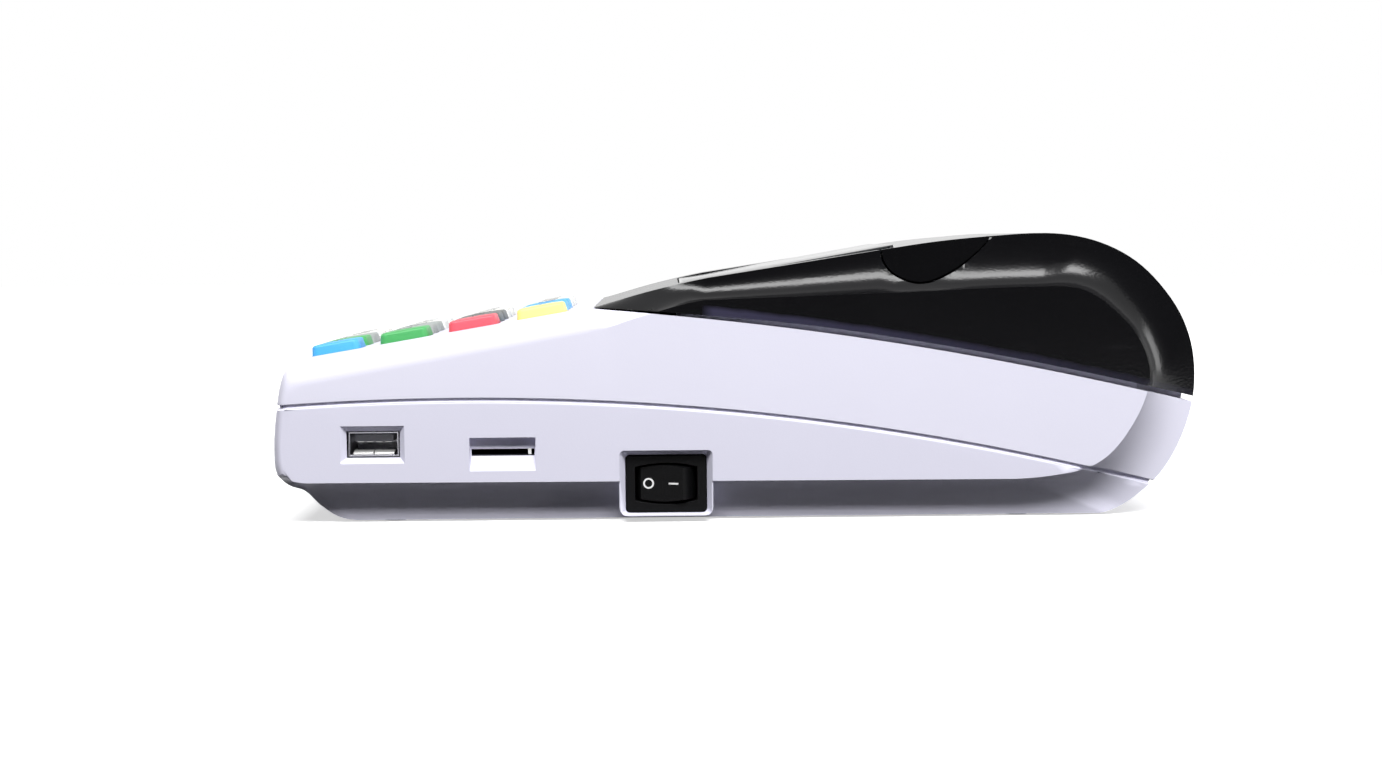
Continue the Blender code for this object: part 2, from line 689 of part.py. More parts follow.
def add_switch_pocket(piece):
    """A frame that stands out of the base cove round the rocker switch."""
    face = -WIDTH / 2.0 + POCKET_SINK
    back = face + BASE_COVE + WALL
    outline = rounded(POCKET_LENGTH / 2.0, POCKET_HEIGHT / 2.0, POCKET_ROUND, KEY_ROUND_STEPS)
    place = (SWITCH_PLACE, SWITCH_HEIGHT + POCKET_LIFT)
    join(piece, slab("pocket", [(x + place[0], z + place[1]) for x, z in outline], face, back))
    skin, seat = -WIDTH / 2.0, face + BEZEL_SINK + BEZEL_THICK
    mouth = rounded(MOUTH_LENGTH / 2.0, MOUTH_HEIGHT / 2.0, MOUTH_ROUND, KEY_ROUND_STEPS)
    fit = rounded((BEZEL_LENGTH + GAP) / 2.0, (BEZEL_HEIGHT + GAP) / 2.0, BEZEL_ROUND, KEY_ROUND_STEPS)
    levels = ((skin - WALL, mouth, MOUTH_LIFT), (skin, mouth, MOUTH_LIFT), (BEZEL_FACE, fit, 0.0),
              (seat, fit, 0.0))
    cut(piece, loft("seat", [[(x + SWITCH_PLACE, y, z + SWITCH_HEIGHT + lift) for x, z in ring]
                             for y, ring, lift in levels]))
    half_x, half_z = BODY_LENGTH / 2.0 + GAP, BODY_HEIGHT / 2.0 + GAP
    cut(piece, box("body_hole", (SWITCH_PLACE - half_x, SWITCH_PLACE + half_x), (-WIDTH, back + WALL),
                   (SWITCH_HEIGHT - half_z, SWITCH_HEIGHT + half_z)))


def board_posts():
    """Where the main board's four posts stand."""
    rear = BOARD_REAR - KEYPAD_POST_INSET
    front = -BOARD_FRONT + KEYPAD_POST_INSET
    side = BOARD_HALF - KEYPAD_POST_INSET * 2.0
    return [(x, y) for x in (front, rear) for y in (-side, side)]


def frame_posts():
    """Where the printer frame's four posts stand."""
    front = PLATEN_X - FRAME_FRONT_RUN + POST_RADIUS
    rear = PLATEN_X + FRAME_REAR_RUN - POST_RADIUS
    side = FRAME_INNER - POST_RADIUS
    return [(x, y) for x in (front, rear) for y in (-side, side)]


def add_base_posts(piece):
    """Posts for the boards and the printer frame and bosses for the screws."""
    floor = BASE_TOP - WALL / 2.0
    for place in board_posts():
        join(piece, rod_z("post", place, POST_RADIUS, floor, BOARD_TOP - BOARD_THICK - GAP, SMALL_SIDES))
    for place in frame_posts():
        join(piece, rod_z("post", place, POST_RADIUS, floor, FRAME_BASE - GAP, SMALL_SIDES))
    for place in screw_places():
        join(piece, rod_z("boss", place, BOSS_RADIUS, floor, BOSS_TOP, SMALL_SIDES))


def tapered_window(name, centre, width, height, spread, near, far):
    """A rectangular window that widens by a spread towards the outside."""
    rings = []
    for y, extra in ((near, 0.0), (far, spread)):
        half_x, half_z = width / 2.0 + extra, height / 2.0 + extra
        rings.append([(centre[0] + sx * half_x, y, centre[1] + sz * half_z)
                      for sx, sz in ((-1, -1), (1, -1), (1, 1), (-1, 1))])
    return loft(name, rings)


USB_CENTRE = BOARD_TOP + GAP + USB_HEIGHT / 2.0


def cut_side_windows(piece):
    """USB window and card slot on the near side, power jack hole on the far side."""
    skin = -WIDTH / 2.0
    inside = skin + WALL + LIP_WALL + LIP_WALL
    cut(piece, tapered_window("usb", (USB_PLACE, USB_CENTRE), USB_WINDOW, USB_WINDOW_HEIGHT, 0.0, inside,
                              skin - WALL))
    cut(piece, tapered_window("usb_edge", (USB_PLACE, USB_CENTRE), USB_WINDOW - USB_CHAMFER,
                              USB_WINDOW_HEIGHT - USB_CHAMFER, USB_CHAMFER * 2.0, skin + USB_CHAMFER * 2.0,
                              skin - GAP))
    slot_low = BOARD_TOP + GAP
    slot_high = slot_low + CARD_SLOT_HEIGHT
    half = CARD_WIDTH / 2.0
    outline = [(skin - WALL, CARD_TOP), (skin + CARD_RECESS, CARD_TOP), (skin + CARD_RECESS, slot_low),
               (skin, CARD_BOTTOM), (skin - WALL, CARD_BOTTOM)]
    ramp = loft("ramp", [[(x, y, z) for y, z in outline] for x in (CARD_PLACE - half, CARD_PLACE + half)])
    cut(piece, ramp)
    half_slot = CARD_SLOT / 2.0
    cut(piece, box("slot", (CARD_PLACE - half_slot, CARD_PLACE + half_slot), (skin - WALL, inside),
                   (slot_low, slot_high)))
    jack_z = BOARD_TOP + GAP + JACK_HEIGHT / 2.0
    cut(piece, slab("jack_hole", circle((JACK_PLACE, jack_z), JACK_BORE + GAP, SMALL_SIDES), -inside, WIDTH))


def cut_base(piece):
    """Battery hatch, screw holes and foot recesses."""
    x0, x1 = BATTERY_START, BATTERY_START + BATTERY_LENGTH
    half = BATTERY_WIDTH / 2.0
    wide = half + HATCH_MARGIN
    cut(piece, box("hatch", (x0 - HATCH_MARGIN, x1 + HATCH_MARGIN), (-wide, wide),
                   (FLOOR, BASE_LIFT + WALL / 2.0 + GAP)))
    cut(piece, box("bay", (x0 - GAP, x1 + GAP), (-half - GAP, half + GAP), (FLOOR, BASE_TOP + WALL)))
    for place in screw_places():
        cut(piece, rod_z("shank_hole", place, SCREW_RADIUS + GAP, FLOOR, BOSS_TOP + WALL, SMALL_SIDES))
        cut(piece, rod_z("head_hole", place, SCREW_HEAD + GAP, FLOOR,
                         BASE_LIFT + SCREW_SINK + SCREW_HEAD_THICK + GAP, SMALL_SIDES))
    for place in foot_places():
        cut(piece, rod_z("foot_recess", place, FOOT_RADIUS + GAP, FLOOR, BASE_LIFT + FOOT_RECESS,
                         ROUND_SIDES))


def foot_places():
    """Where the four feet stand."""
    return [(x, side * FOOT_HALF_SPAN) for x in FOOT_PLACES for side in (-1, 1)]


def upper_case():
    """Deck and side walls between the parting line and the cover's ledge, with key holes and bosses."""
    top = [(FRONT_END, ROOF), (NOSE, ROOF)] + curve(ledge_height, NOSE + GAP / 10.0, REAR_END)
    low = curve(parting_height, FRONT_END, REAR_END, SEAM / 2.0)
    piece = shell_band("upper_case", 0.0, WALL, low, top)
    ledge = lip("cover_tongue", ledge_height, NOSE + TONGUE_START)
    cut(ledge, slab("grip_relief", moon(-EAR_GAP), -WIDTH, WIDTH))
    join(piece, ledge)
    add_upper_bosses(piece)
    for row in range(KEY_ROWS):
        for column in range(KEY_COLUMNS):
            half_x, half_y = KEY_LENGTH / 2.0 + KEY_SLOT, KEY_WIDTH / 2.0 + KEY_SLOT
            outline = rounded(half_x, half_y, KEY_ROUND + KEY_SLOT, KEY_ROUND_STEPS)
            tool = plate("key_hole", outline, -WALL - WALL, WALL)
            cut(piece, tilt(tool, DECK_SLOPE, key_place(row, column)))
    return finish(piece, WHITE, SMOOTH_ANGLE)


def key_place(row, column):
    """Middle of a key, on the deck's surface."""
    along = KEY_FIRST - KEY_LENGTH / 2.0 + KEY_ROW_PITCH * row
    side = (column - (KEY_COLUMNS - 1) / 2.0) * KEY_COLUMN_PITCH
    return (DECK_START.x + along * math.cos(DECK_SLOPE), side, DECK_START.z + along * math.sin(DECK_SLOPE))


def add_upper_bosses(piece):
    """Screw bosses hung from the deck in front and the side walls at the rear, and the keypad's posts."""
    front, rear = SCREW_PLACES
    low = BOSS_TOP + GAP
    for side in (-1, 1):
        y = side * SCREW_HALF_SPAN
        top = crown_height(front) - WALL / 2.0
        boss = rod_z("boss", (front, y), BOSS_RADIUS, low, top, SMALL_SIDES)
        cut(boss, rod_z("bore", (front, y), SCREW_RADIUS + GAP, FLOOR, BASE_LIFT + SCREW_SINK + SCREW_LENGTH
                        + BOSS_WEB, SMALL_SIDES))
        join(piece, boss)
        high = low + BOSS_REACH
        boss = rod_z("boss", (rear, y), BOSS_RADIUS, low, high, SMALL_SIDES)
        web_y = sorted((y, side * (INNER_HALF + WALL / 2.0)))
        web_low = parting_height(rear) + WALL + SEAM
        join(boss, box("web", (rear - BOSS_WEB, rear + BOSS_WEB), web_y, (web_low, high)))
        cut(boss, rod_z("bore", (rear, y), SCREW_RADIUS + GAP, FLOOR, BASE_LIFT + SCREW_SINK + SCREW_LENGTH
                        + BOSS_WEB / 2.0, SMALL_SIDES))
        join(piece, boss)
    for x, y in keypad_posts():
        post = plate("post", circle((x, y), KEYPAD_POST, SMALL_SIDES), -KEYPAD_DEPTH + GAP, -WALL / 2.0)
        join(piece, tilt(post, DECK_SLOPE, tuple(DECK_START)))


FLANGE_TOP = WALL + GAP
MAT_DEPTH = FLANGE_TOP + KEY_FLANGE_THICK + KEY_TRAVEL + GAP
KEYPAD_DEPTH = MAT_DEPTH + MAT_THICK + GAP
KEYPAD_X0 = KEY_FIRST - KEY_LENGTH / 2.0 - KEY_LENGTH / 2.0 - KEY_FLANGE - MAT_MARGIN
KEYPAD_X1 = KEYPAD_X0 + KEY_ROW_PITCH * (KEY_ROWS - 1) + KEY_LENGTH + (KEY_FLANGE + MAT_MARGIN) * 2.0
KEYPAD_HALF = KEY_COLUMN_PITCH * (KEY_COLUMNS - 1) / 2.0 + KEY_WIDTH / 2.0 + KEY_FLANGE + MAT_MARGIN


def keypad_posts():
    """Posts between the second and third key rows, in the deck's own frame."""
    gap_x = [KEYPAD_X0 + KEY_FLANGE + MAT_MARGIN + KEY_LENGTH + KEY_ROW_PITCH * row
             + (KEY_ROW_PITCH - KEY_LENGTH) / 2.0 for row in (0, KEY_ROWS - 2)]
    return [(x, side * (KEY_COLUMN_PITCH + KEY_COLUMN_PITCH / 2.0)) for x in gap_x for side in (-1, 1)]


def smoked_cover():
    """Glossy cover with the display rebate, the door opening and the hinge knuckles."""
    low = curve(cover_foot, NOSE + GAP, REAR_END)
    top = [(NOSE + GAP, ROOF), (REAR_END, ROOF)]
    piece = shell_band("smoked_cover", 0.0, WALL, low, top)
    half = LENS_WIDTH / 2.0
    rebate = plate("rebate", rounded(LENS_CENTRE + GAP, half + GAP, LENS_ROUND, KEY_ROUND_STEPS),
                   LENS_PROUD - LENS_THICK - GAP, WALL)
    hole = plate("hole", rounded(LENS_CENTRE - LENS_LEDGE, half - LENS_LEDGE, LENS_ROUND, KEY_ROUND_STEPS),
                 -WALL - WALL, WALL)
    for tool in (rebate, hole):
        tool.data.transform(Matrix.Translation((LENS_CENTRE, 0.0, 0.0)))
        cut(piece, tilt(tool, LID_SLOPE, tuple(LENS_PLACE)))
    cut(piece, slab("grip", moon(0.0), -WIDTH, WIDTH))
    seat_half = PLATEN_HALF + GAP
    cut(piece, box("tear_seat", (TEAR_FRONT - GAP, MOON_FRONT + EAR_GAP), (-seat_half, seat_half),
                   (SLOT_TOP - TEAR_HEIGHT - GAP, ROOF)))
    cut(piece, box("door_hole", (MOON_FRONT + MOON_LENGTH / 2.0, HINGE[0] + BARREL_RADIUS / 2.0),
                   (-DOOR_WIDTH / 2.0 - DOOR_SIDE_GAP, DOOR_WIDTH / 2.0 + DOOR_SIDE_GAP), (HINGE[1], ROOF)))
    cut(piece, rod_y("barrel_room", HINGE, BARREL_CLEAR, -DOOR_WIDTH / 2.0 - DOOR_SIDE_GAP,
                     DOOR_WIDTH / 2.0 + DOOR_SIDE_GAP, ROUND_SIDES))
    for side in (-1, 1):
        near, far = sorted((side * (BARREL_HALF + GAP), side * KNUCKLE_HALF))
        lug = slab("lug", knuckle_outline(), near, far)
        join(piece, lug)
    pin_end = KNUCKLE_HALF - BOSS_WEB
    cut(piece, rod_y("pin_hole", HINGE, HINGE_PIN_RADIUS + GAP, -pin_end, pin_end, HINGE_SIDES))
    return finish(piece, SMOKED, SMOOTH_ANGLE)


def knuckle_outline():
    """A lug from the cover's rear wall round the hinge pin."""
    rear = HINGE[0] + BARREL_CLEAR + WALL / 2.0
    drop = BARREL_CLEAR + WALL
    x, z = HINGE
    return [(x - BARREL_RADIUS, z - BARREL_RADIUS), (x + BARREL_RADIUS, z - drop), (rear, z - drop),
            (rear, z - BARREL_RADIUS), (x + BARREL_RADIUS, z + HINGE_PIN_RADIUS),
            (x, z + BARREL_RADIUS - GAP), (x - BARREL_RADIUS, z + HINGE_PIN_RADIUS)]


def display_lens():
    """Window plate in the cover's rebate, standing slightly proud."""
    piece = plate("display_lens", rounded(LENS_CENTRE, LENS_WIDTH / 2.0, LENS_ROUND, KEY_ROUND_STEPS),
                  LENS_PROUD - LENS_THICK, LENS_PROUD)
    piece.data.transform(Matrix.Translation((LENS_CENTRE, 0.0, 0.0)))
    return finish(tilt(piece, LID_SLOPE, tuple(LENS_PLACE)), SMOKED, SMOOTH_ANGLE)


def lcd_module():
    """Display module under the cover."""
    half = LENS_WIDTH / 2.0 - DISPLAY_MARGIN / 2.0
    inset = DISPLAY_MARGIN / 2.0
    piece = box("lcd_module", (inset, LENS_LENGTH - inset), (-half, half), (-WALL - GAP * 2.0 - DISPLAY_THICK,
                                                                         -WALL - GAP * 2.0))
    return finish(tilt(piece, LID_SLOPE, tuple(LENS_PLACE)), LCD_GREY)


# Paper door

def paper_door():
    """Door plate that follows the lid, half-moon ears, arms for the platen and the hinge barrel."""
    half_ear = WIDTH / 2.0 - LID_COVE - EAR_REACH
    half_plate = DOOR_WIDTH / 2.0
    piece = envelope("paper_door", 0.0)
    cut(piece, envelope("inside", DOOR_WALL))
    plan = slab("door_front", moon(EAR_GAP), -half_ear, half_ear)
    join(plan, box("door_rear", (MOON_FRONT + MOON_LENGTH / 2.0, HINGE[0]), (-half_plate, half_plate),
                   (HINGE[1] + BARREL_RADIUS / 2.0, ROOF + OVERRUN)))
    keep(piece, plan)
    for side in (-1, 1):
        near, far = sorted((side * (half_plate - DOOR_WALL / 2.0), side * (half_ear - EAR_REACH)))
        ear = keep(slab("ear", moon(EAR_GAP + EAR_REACH / 2.0), near, far), envelope("ear_skin", EAR_REACH))
        join(piece, ear)
    join(piece, rod_y("barrel", HINGE, BARREL_RADIUS, -BARREL_HALF, BARREL_HALF, HINGE_SIDES))
    root = HINGE[0] - BARREL_CLEAR
    for side in (-1, 1):
        room_y = sorted((side * BARREL_HALF, side * WIDTH))
        cut(piece, box("knuckle_room", (root, HINGE[0] + WALL), room_y, (FLOOR, ROOF)))
    for side in (-1, 1):
        near, far = sorted((side * ARM_INNER, side * ARM_OUTER))
        arm = box("arm", (PLATEN_X - ARM_HALF_LENGTH, PLATEN_X + ARM_HALF_LENGTH), (near, far),
                  (PLATEN_Z - ARM_HALF_LENGTH, crown_height(PLATEN_X - ARM_HALF_LENGTH) - DOOR_WALL / 2.0))
        join(piece, arm)
    shaft_end = ARM_OUTER + GAP
    cut(piece, rod_y("shaft_hole", PLATEN, SHAFT_RADIUS + GAP, -shaft_end, shaft_end, SMALL_SIDES))
    cut(piece, rod_y("pin_hole", HINGE, HINGE_PIN_RADIUS + GAP, -WIDTH, WIDTH, HINGE_SIDES))
    return pivot(finish(piece, SMOKED, SMOOTH_ANGLE), (HINGE[0], 0.0, HINGE[1]))


def hinge_pin():
    """Steel pin through the door's barrel into the cover's knuckles."""
    reach = KNUCKLE_HALF - BOSS_WEB - GAP
    piece = rod_y("door_hinge_pin", HINGE, HINGE_PIN_RADIUS, -reach, reach, HINGE_SIDES)
    return finish(piece, STEEL, SMOOTH_ANGLE)


# Printer

def gear(name, centre, teeth, bore, phase):
    """A spur gear with straight-sided teeth and a bore."""
    pitch = gear_radius(teeth)
    tip, root = pitch + ADDENDUM_SHARE * GEAR_MODULE, pitch - DEDENDUM_SHARE * GEAR_MODULE
    step = 2.0 * math.pi / teeth
    outline = []
    for index in range(teeth):
        middle = phase + step * index
        for radius, share in ((root, 1.0), (tip, TOOTH_TIP_SHARE), (tip, -TOOTH_TIP_SHARE), (root, -1.0)):
            turn = middle - share * TOOTH_SHARE * step / 2.0 * (1.0 if radius == tip else ROOT_SPREAD_SHARE)
            outline.append((centre[0] + radius * math.cos(turn), centre[1] + radius * math.sin(turn)))
    piece = slab(name, outline, GEAR_NEAR, GEAR_FAR)
    cut(piece, rod_y("bore", centre, bore, GEAR_NEAR - GAP, GEAR_FAR + GAP, SMALL_SIDES))
    return piece


def mesh_phase(driver_centre, driver_teeth, driver_phase, centre, teeth):
    """Phase that sets a tooth gap of one gear on the tooth of its neighbour along their centre line."""
    line = math.atan2(centre[1] - driver_centre[1], centre[0] - driver_centre[0])
    driver_step = 2.0 * math.pi / driver_teeth
    offset = ((line - driver_phase) / driver_step) % 1.0
    step = 2.0 * math.pi / teeth
    return line + math.pi + step / 2.0 + offset * step


def platen_parts():
    """Rubber roller, steel shaft and its gear."""
    roller = rod_y("platen_roller", PLATEN, PLATEN_RADIUS, -PLATEN_HALF, PLATEN_HALF, ROUND_SIDES)
    cut(roller, rod_y("bore", PLATEN, SHAFT_RADIUS + GAP, -PLATEN_HALF - GAP, PLATEN_HALF + GAP, SMALL_SIDES))
    shaft = rod_y("platen_shaft", PLATEN, SHAFT_RADIUS, -ARM_OUTER - GAP, GEAR_FAR + GAP, SMALL_SIDES)
    wheel = gear("platen_gear", PLATEN, PLATEN_TEETH, SHAFT_RADIUS + GAP, 0.0)
    place = (PLATEN[0], 0.0, PLATEN[1])
    pivot(finish(roller, RUBBER, SMOOTH_ANGLE), place)
    pivot(finish(shaft, STEEL, SMOOTH_ANGLE), place)
    pivot(finish(wheel, NYLON), place)


def drive_parts():
    """Idler on its pin, motor and pinion."""
    idler_phase = mesh_phase(PLATEN, PLATEN_TEETH, 0.0, IDLER, IDLER_TEETH)
    idler = gear("idler_gear", IDLER, IDLER_TEETH, IDLER_PIN_RADIUS + GAP, idler_phase)
    pivot(finish(idler, NYLON), (IDLER[0], 0.0, IDLER[1]))
    pinion_phase = mesh_phase(IDLER, IDLER_TEETH, idler_phase, PINION, PINION_TEETH)
    pinion = gear("motor_pinion", PINION, PINION_TEETH, MOTOR_SHAFT_RADIUS + GAP, pinion_phase)
    pivot(finish(pinion, BRASS), (PINION[0], 0.0, PINION[1]))
    finish(rod_y("idler_pin", IDLER, IDLER_PIN_RADIUS, FRAME_INNER + GAP, GEAR_FAR + GAP, SMALL_SIDES), STEEL,
           SMOOTH_ANGLE)
    motor = rod_y("stepper_motor", PINION, MOTOR_RADIUS, FRAME_INNER - GAP - MOTOR_LENGTH, FRAME_INNER - GAP,
                  ROUND_SIDES)
    join(motor, rod_y("shaft", PINION, MOTOR_SHAFT_RADIUS, FRAME_INNER - WALL, GEAR_FAR + GAP, SMALL_SIDES))
    finish(motor, STEEL, SMOOTH_ANGLE)


def printer_frame():
    """Steel channel: base plate, two side plates with open bearings, and the wall behind the head spring."""
    x0, x1 = PLATEN_X - FRAME_FRONT_RUN, PLATEN_X + FRAME_REAR_RUN
    z0, z1 = FRAME_BASE, PLATEN_Z + FRAME_TOP_OVER
    piece = box("printer_frame", (x0, x1), (-FRAME_OUTER, FRAME_OUTER), (z0, z0 + FRAME_PLATE))
    wall_x = head_front() - SPRING_GAP
    for side in (-1, 1):
        near, far = sorted((side * FRAME_INNER, side * FRAME_OUTER))
        outline = [(x0, z0), (x1, z0), (x1, z1), (wall_x - FRAME_PLATE, z1), (x0, IDLER[1])]
        join(piece, slab("side", outline, near, far))
    join(piece, box("wall", (wall_x - FRAME_PLATE, wall_x), (-FRAME_INNER - GAP, FRAME_INNER + GAP),
                    (IDLER[1] + MOTOR_CLEAR, z1)))
    notch = SHAFT_RADIUS + NOTCH_CLEAR
    cut(piece, rod_y("bearing", PLATEN, notch, -WIDTH, WIDTH, SMALL_SIDES))
    cut(piece, box("mouth", (PLATEN_X - notch, PLATEN_X + notch), (-WIDTH, WIDTH), (PLATEN_Z, ROOF)))
    cut(piece, rod_y("idler_hole", IDLER, IDLER_PIN_RADIUS + GAP, 0.0, WIDTH, SMALL_SIDES))
    cut(piece, rod_y("motor_hole", PINION, MOTOR_SHAFT_RADIUS + GAP + GAP, 0.0, WIDTH, SMALL_SIDES))
    return finish(piece, STEEL)


def head_front():
    """Front face of the print head, towards the keyboard."""
    return PLATEN_X - PLATEN_RADIUS - GAP - HEAD_THICK


def print_head():
    """Ceramic head plate that faces the platen."""
    x0 = head_front()
    half = FRAME_INNER - GAP
    piece = box("print_head", (x0, x0 + HEAD_THICK), (-half, half),
                (PLATEN_Z - HEAD_DROP, PLATEN_Z + HEAD_RISE))
    return finish(piece, NYLON)


def head_spring():
    """Pressure spring between the frame wall and the head, as a short sleeve."""
    x1 = head_front() - GAP
    x0 = x1 - SPRING_GAP + GAP + GAP
    z = PLATEN_Z - HEAD_DROP * SPRING_DROP_SHARE
    rings = [[(x, *spot) for spot in circle((0.0, z), SPRING_RADIUS, SPRING_WIRE_SIDES)] for x in (x0, x1)]
    return finish(loft("head_spring", rings), STEEL, SMOOTH_ANGLE)


def tear_bar():
    """Serrated strip on the cover's edge in front of the paper slot."""
    x0, x1 = TEAR_FRONT, TEAR_FRONT + TEAR_THICK
    half = PLATEN_HALF
    top = SLOT_TOP + EAR_GAP / 2.0
    count = int(half * 2.0 / TEAR_TOOTH)
    outline = [(-half, top - TEAR_HEIGHT), (half, top - TEAR_HEIGHT)]
    for index in range(count, -1, -1):
        outline.append((-half + half * 2.0 * index / count, top - EAR_GAP))
        if index:
            outline.append((-half + half * 2.0 * (index - 0.5) / count, top))
    return finish(loft("tear_bar", [[(x, y, z) for y, z in outline] for x in (x0, x1)]), STEEL)


def paper_roll():
    """Thermal paper roll with its core bore."""
    half = ROLL_WIDTH / 2.0
    piece = rod_y("paper_roll", ROLL, ROLL_RADIUS, -half, half, ROUND_SIDES + SMALL_SIDES)
    cut(piece, rod_y("bore", ROLL, ROLL_BORE, -ROLL_WIDTH, ROLL_WIDTH, ROUND_SIDES))
    return pivot(finish(piece, PAPER, SMOOTH_ANGLE), (ROLL[0], 0.0, ROLL[1]))


def bin_outline(radius):
    """A trough round the roll, open upwards."""
    centre = (ROLL[0], ROLL[1] - ROLL_RADIUS - GAP + BIN_RADIUS)
    arc = [step_from(centre, radius, -180.0 + 180.0 * step / BIN_STEPS) for step in range(BIN_STEPS + 1)]
    return [(arc[0][0], BIN_TOP)] + arc + [(arc[-1][0], BIN_TOP)]


def paper_bin():
    """Trough that carries the roll, on two legs that stand on the base."""
    half = ROLL_WIDTH / 2.0 + BIN_SIDE_GAP
    piece = slab("paper_bin", bin_outline(BIN_RADIUS + BIN_WALL), -half - BIN_WALL, half + BIN_WALL)
    room = [(x, z + (BIN_WALL if z == BIN_TOP else 0.0)) for x, z in bin_outline(BIN_RADIUS)]
    cut(piece, slab("room", room, -half, half))
    for side in (-1, 1):
        y = side * (half - BIN_LEG)
        join(piece, box("leg", (ROLL[0] - BIN_LEG, ROLL[0] + BIN_LEG), (y - BIN_WALL, y + BIN_WALL),
                        (BASE_TOP + GAP, ROLL[1] - ROLL_RADIUS - GAP - BIN_WALL / 2.0)))
    return finish(piece, WHITE, SMOOTH_ANGLE)


# Keys, mat and keypad board

def key(row, column):
    """One key: a cap that tapers above the deck and a flange that holds it from below."""
    half_x, half_y = KEY_LENGTH / 2.0, KEY_WIDTH / 2.0
    levels = ((-FLANGE_TOP - KEY_FLANGE_THICK, -KEY_FLANGE), (-FLANGE_TOP, -KEY_FLANGE), (-FLANGE_TOP, 0.0),
              (0.0, 0.0), (KEY_RISE - KEY_TOP_ROUND, KEY_TAPER - KEY_TOP_ROUND / 2.0),
              (KEY_RISE, KEY_TAPER + KEY_TOP_ROUND))
    rings = [[(x, y, z) for x, y in rounded(half_x - shy, half_y - shy, KEY_ROUND, KEY_ROUND_STEPS)]
             for z, shy in levels]
    piece = loft("key_r%d_c%d" % (row + 1, column + 1), rings)
    tilt(piece, DECK_SLOPE, key_place(row, column))
    return pivot(finish(piece, KEY_COLOURS[row][column], SMOOTH_ANGLE), key_place(row, column))


def clear_bosses(piece):
    """Room for the front screw bosses in a board or a mat."""
    for x, y in screw_places():
        if x < BOARD_REAR:
            cut(piece, rod_z("boss_room", (x, y), BOSS_RADIUS + SEAM / 2.0, FLOOR, ROOF, SMALL_SIDES))
    return piece


def keypad_mat():
    """Rubber mat under the keys, with holes for the posts."""
    low = -MAT_DEPTH - MAT_THICK
    piece = box("keypad_mat", (KEYPAD_X0, KEYPAD_X1), (-KEYPAD_HALF, KEYPAD_HALF), (low, -MAT_DEPTH))
    for place in keypad_posts():
        cut(piece, rod_z("post_hole", place, KEYPAD_POST + GAP, -MAT_DEPTH * 2.0, 0.0, SMALL_SIDES))
    return finish(clear_bosses(tilt(piece, DECK_SLOPE, tuple(DECK_START))), RUBBER)


def keypad_board():
    """Circuit board below the mat, under the deck's posts."""
    low = -KEYPAD_DEPTH - KEYPAD_THICK
    piece = box("keypad_board", (KEYPAD_X0, KEYPAD_X1), (-KEYPAD_HALF, KEYPAD_HALF), (low, -KEYPAD_DEPTH))
    return finish(clear_bosses(tilt(piece, DECK_SLOPE, tuple(DECK_START))), BOARD_GREEN)


# Board, sockets, battery and switch

def main_board():
    """Main circuit board with room for the switch body and the screw bosses."""
    piece = box("main_board", (-BOARD_FRONT, BOARD_REAR), (-BOARD_HALF, BOARD_HALF),
                (BOARD_TOP - BOARD_THICK, BOARD_TOP))
    half = POCKET_LENGTH / 2.0 + SEAM
    back = -WIDTH / 2.0 + POCKET_SINK + BEZEL_SINK + BEZEL_THICK + BODY_DEPTH + SEAM
    cut(piece, box("switch_room", (SWITCH_PLACE - half, SWITCH_PLACE + half), (-WIDTH, back), (FLOOR, ROOF)))
    return finish(clear_bosses(piece), BOARD_GREEN)


def usb_socket():
    """Metal socket shell with its contact tongue under the roof."""
    near = -WIDTH / 2.0 + WALL + GAP
    low = BOARD_TOP + GAP
    half = USB_WIDTH / 2.0
    piece = box("usb_socket", (USB_PLACE - half, USB_PLACE + half), (near, near + USB_DEPTH),
                (low, low + USB_HEIGHT))
    cut(piece, box("room", (USB_PLACE - half + USB_METAL, USB_PLACE + half - USB_METAL),
                   (near - WALL, near + USB_DEPTH - USB_METAL * 2.0),
                   (low + USB_METAL, low + USB_HEIGHT - USB_METAL)))
    join(piece, box("tongue", (USB_PLACE - half + USB_METAL * 3.0, USB_PLACE + half - USB_METAL * 3.0),
                    (near + USB_CHAMFER, near + USB_DEPTH - USB_METAL),
                    (low + USB_HEIGHT - USB_METAL - USB_TONGUE, low + USB_HEIGHT - USB_METAL / 2.0)))
    return finish(piece, STEEL)


def card_socket():
    """Flat card socket behind the slot."""
    near = -WIDTH / 2.0 + WALL + GAP
    low = BOARD_TOP + GAP
    half = CARD_SLOT / 2.0 + USB_METAL
    high = low + CARD_SLOT_HEIGHT + USB_METAL
    piece = box("card_socket", (CARD_PLACE - half, CARD_PLACE + half), (near, near + CARD_DEPTH), (low, high))
    cut(piece, box("room", (CARD_PLACE - half + USB_METAL, CARD_PLACE + half - USB_METAL),
                   (near - WALL, near + CARD_DEPTH - USB_METAL), (low + USB_METAL, high - USB_METAL)))
    return finish(piece, STEEL)


def dc_jack():
    """Power jack on the far side with its centre pin."""
    far = INNER_HALF - GAP
    low = BOARD_TOP + GAP
    half = JACK_WIDTH / 2.0
    centre = (JACK_PLACE, low + JACK_HEIGHT / 2.0)
    piece = box("dc_jack", (JACK_PLACE - half, JACK_PLACE + half), (far - JACK_DEPTH, far),
                (low, low + JACK_HEIGHT))
    cut(piece, rod_y("bore", centre, JACK_BORE, far - JACK_DEPTH + WALL, WIDTH, SMALL_SIDES))
    join(piece, rod_y("pin", centre, JACK_PIN, far - JACK_DEPTH + WALL / 2.0, far - WALL, SMALL_SIDES))
    return finish(piece, BLACK, SMOOTH_ANGLE)


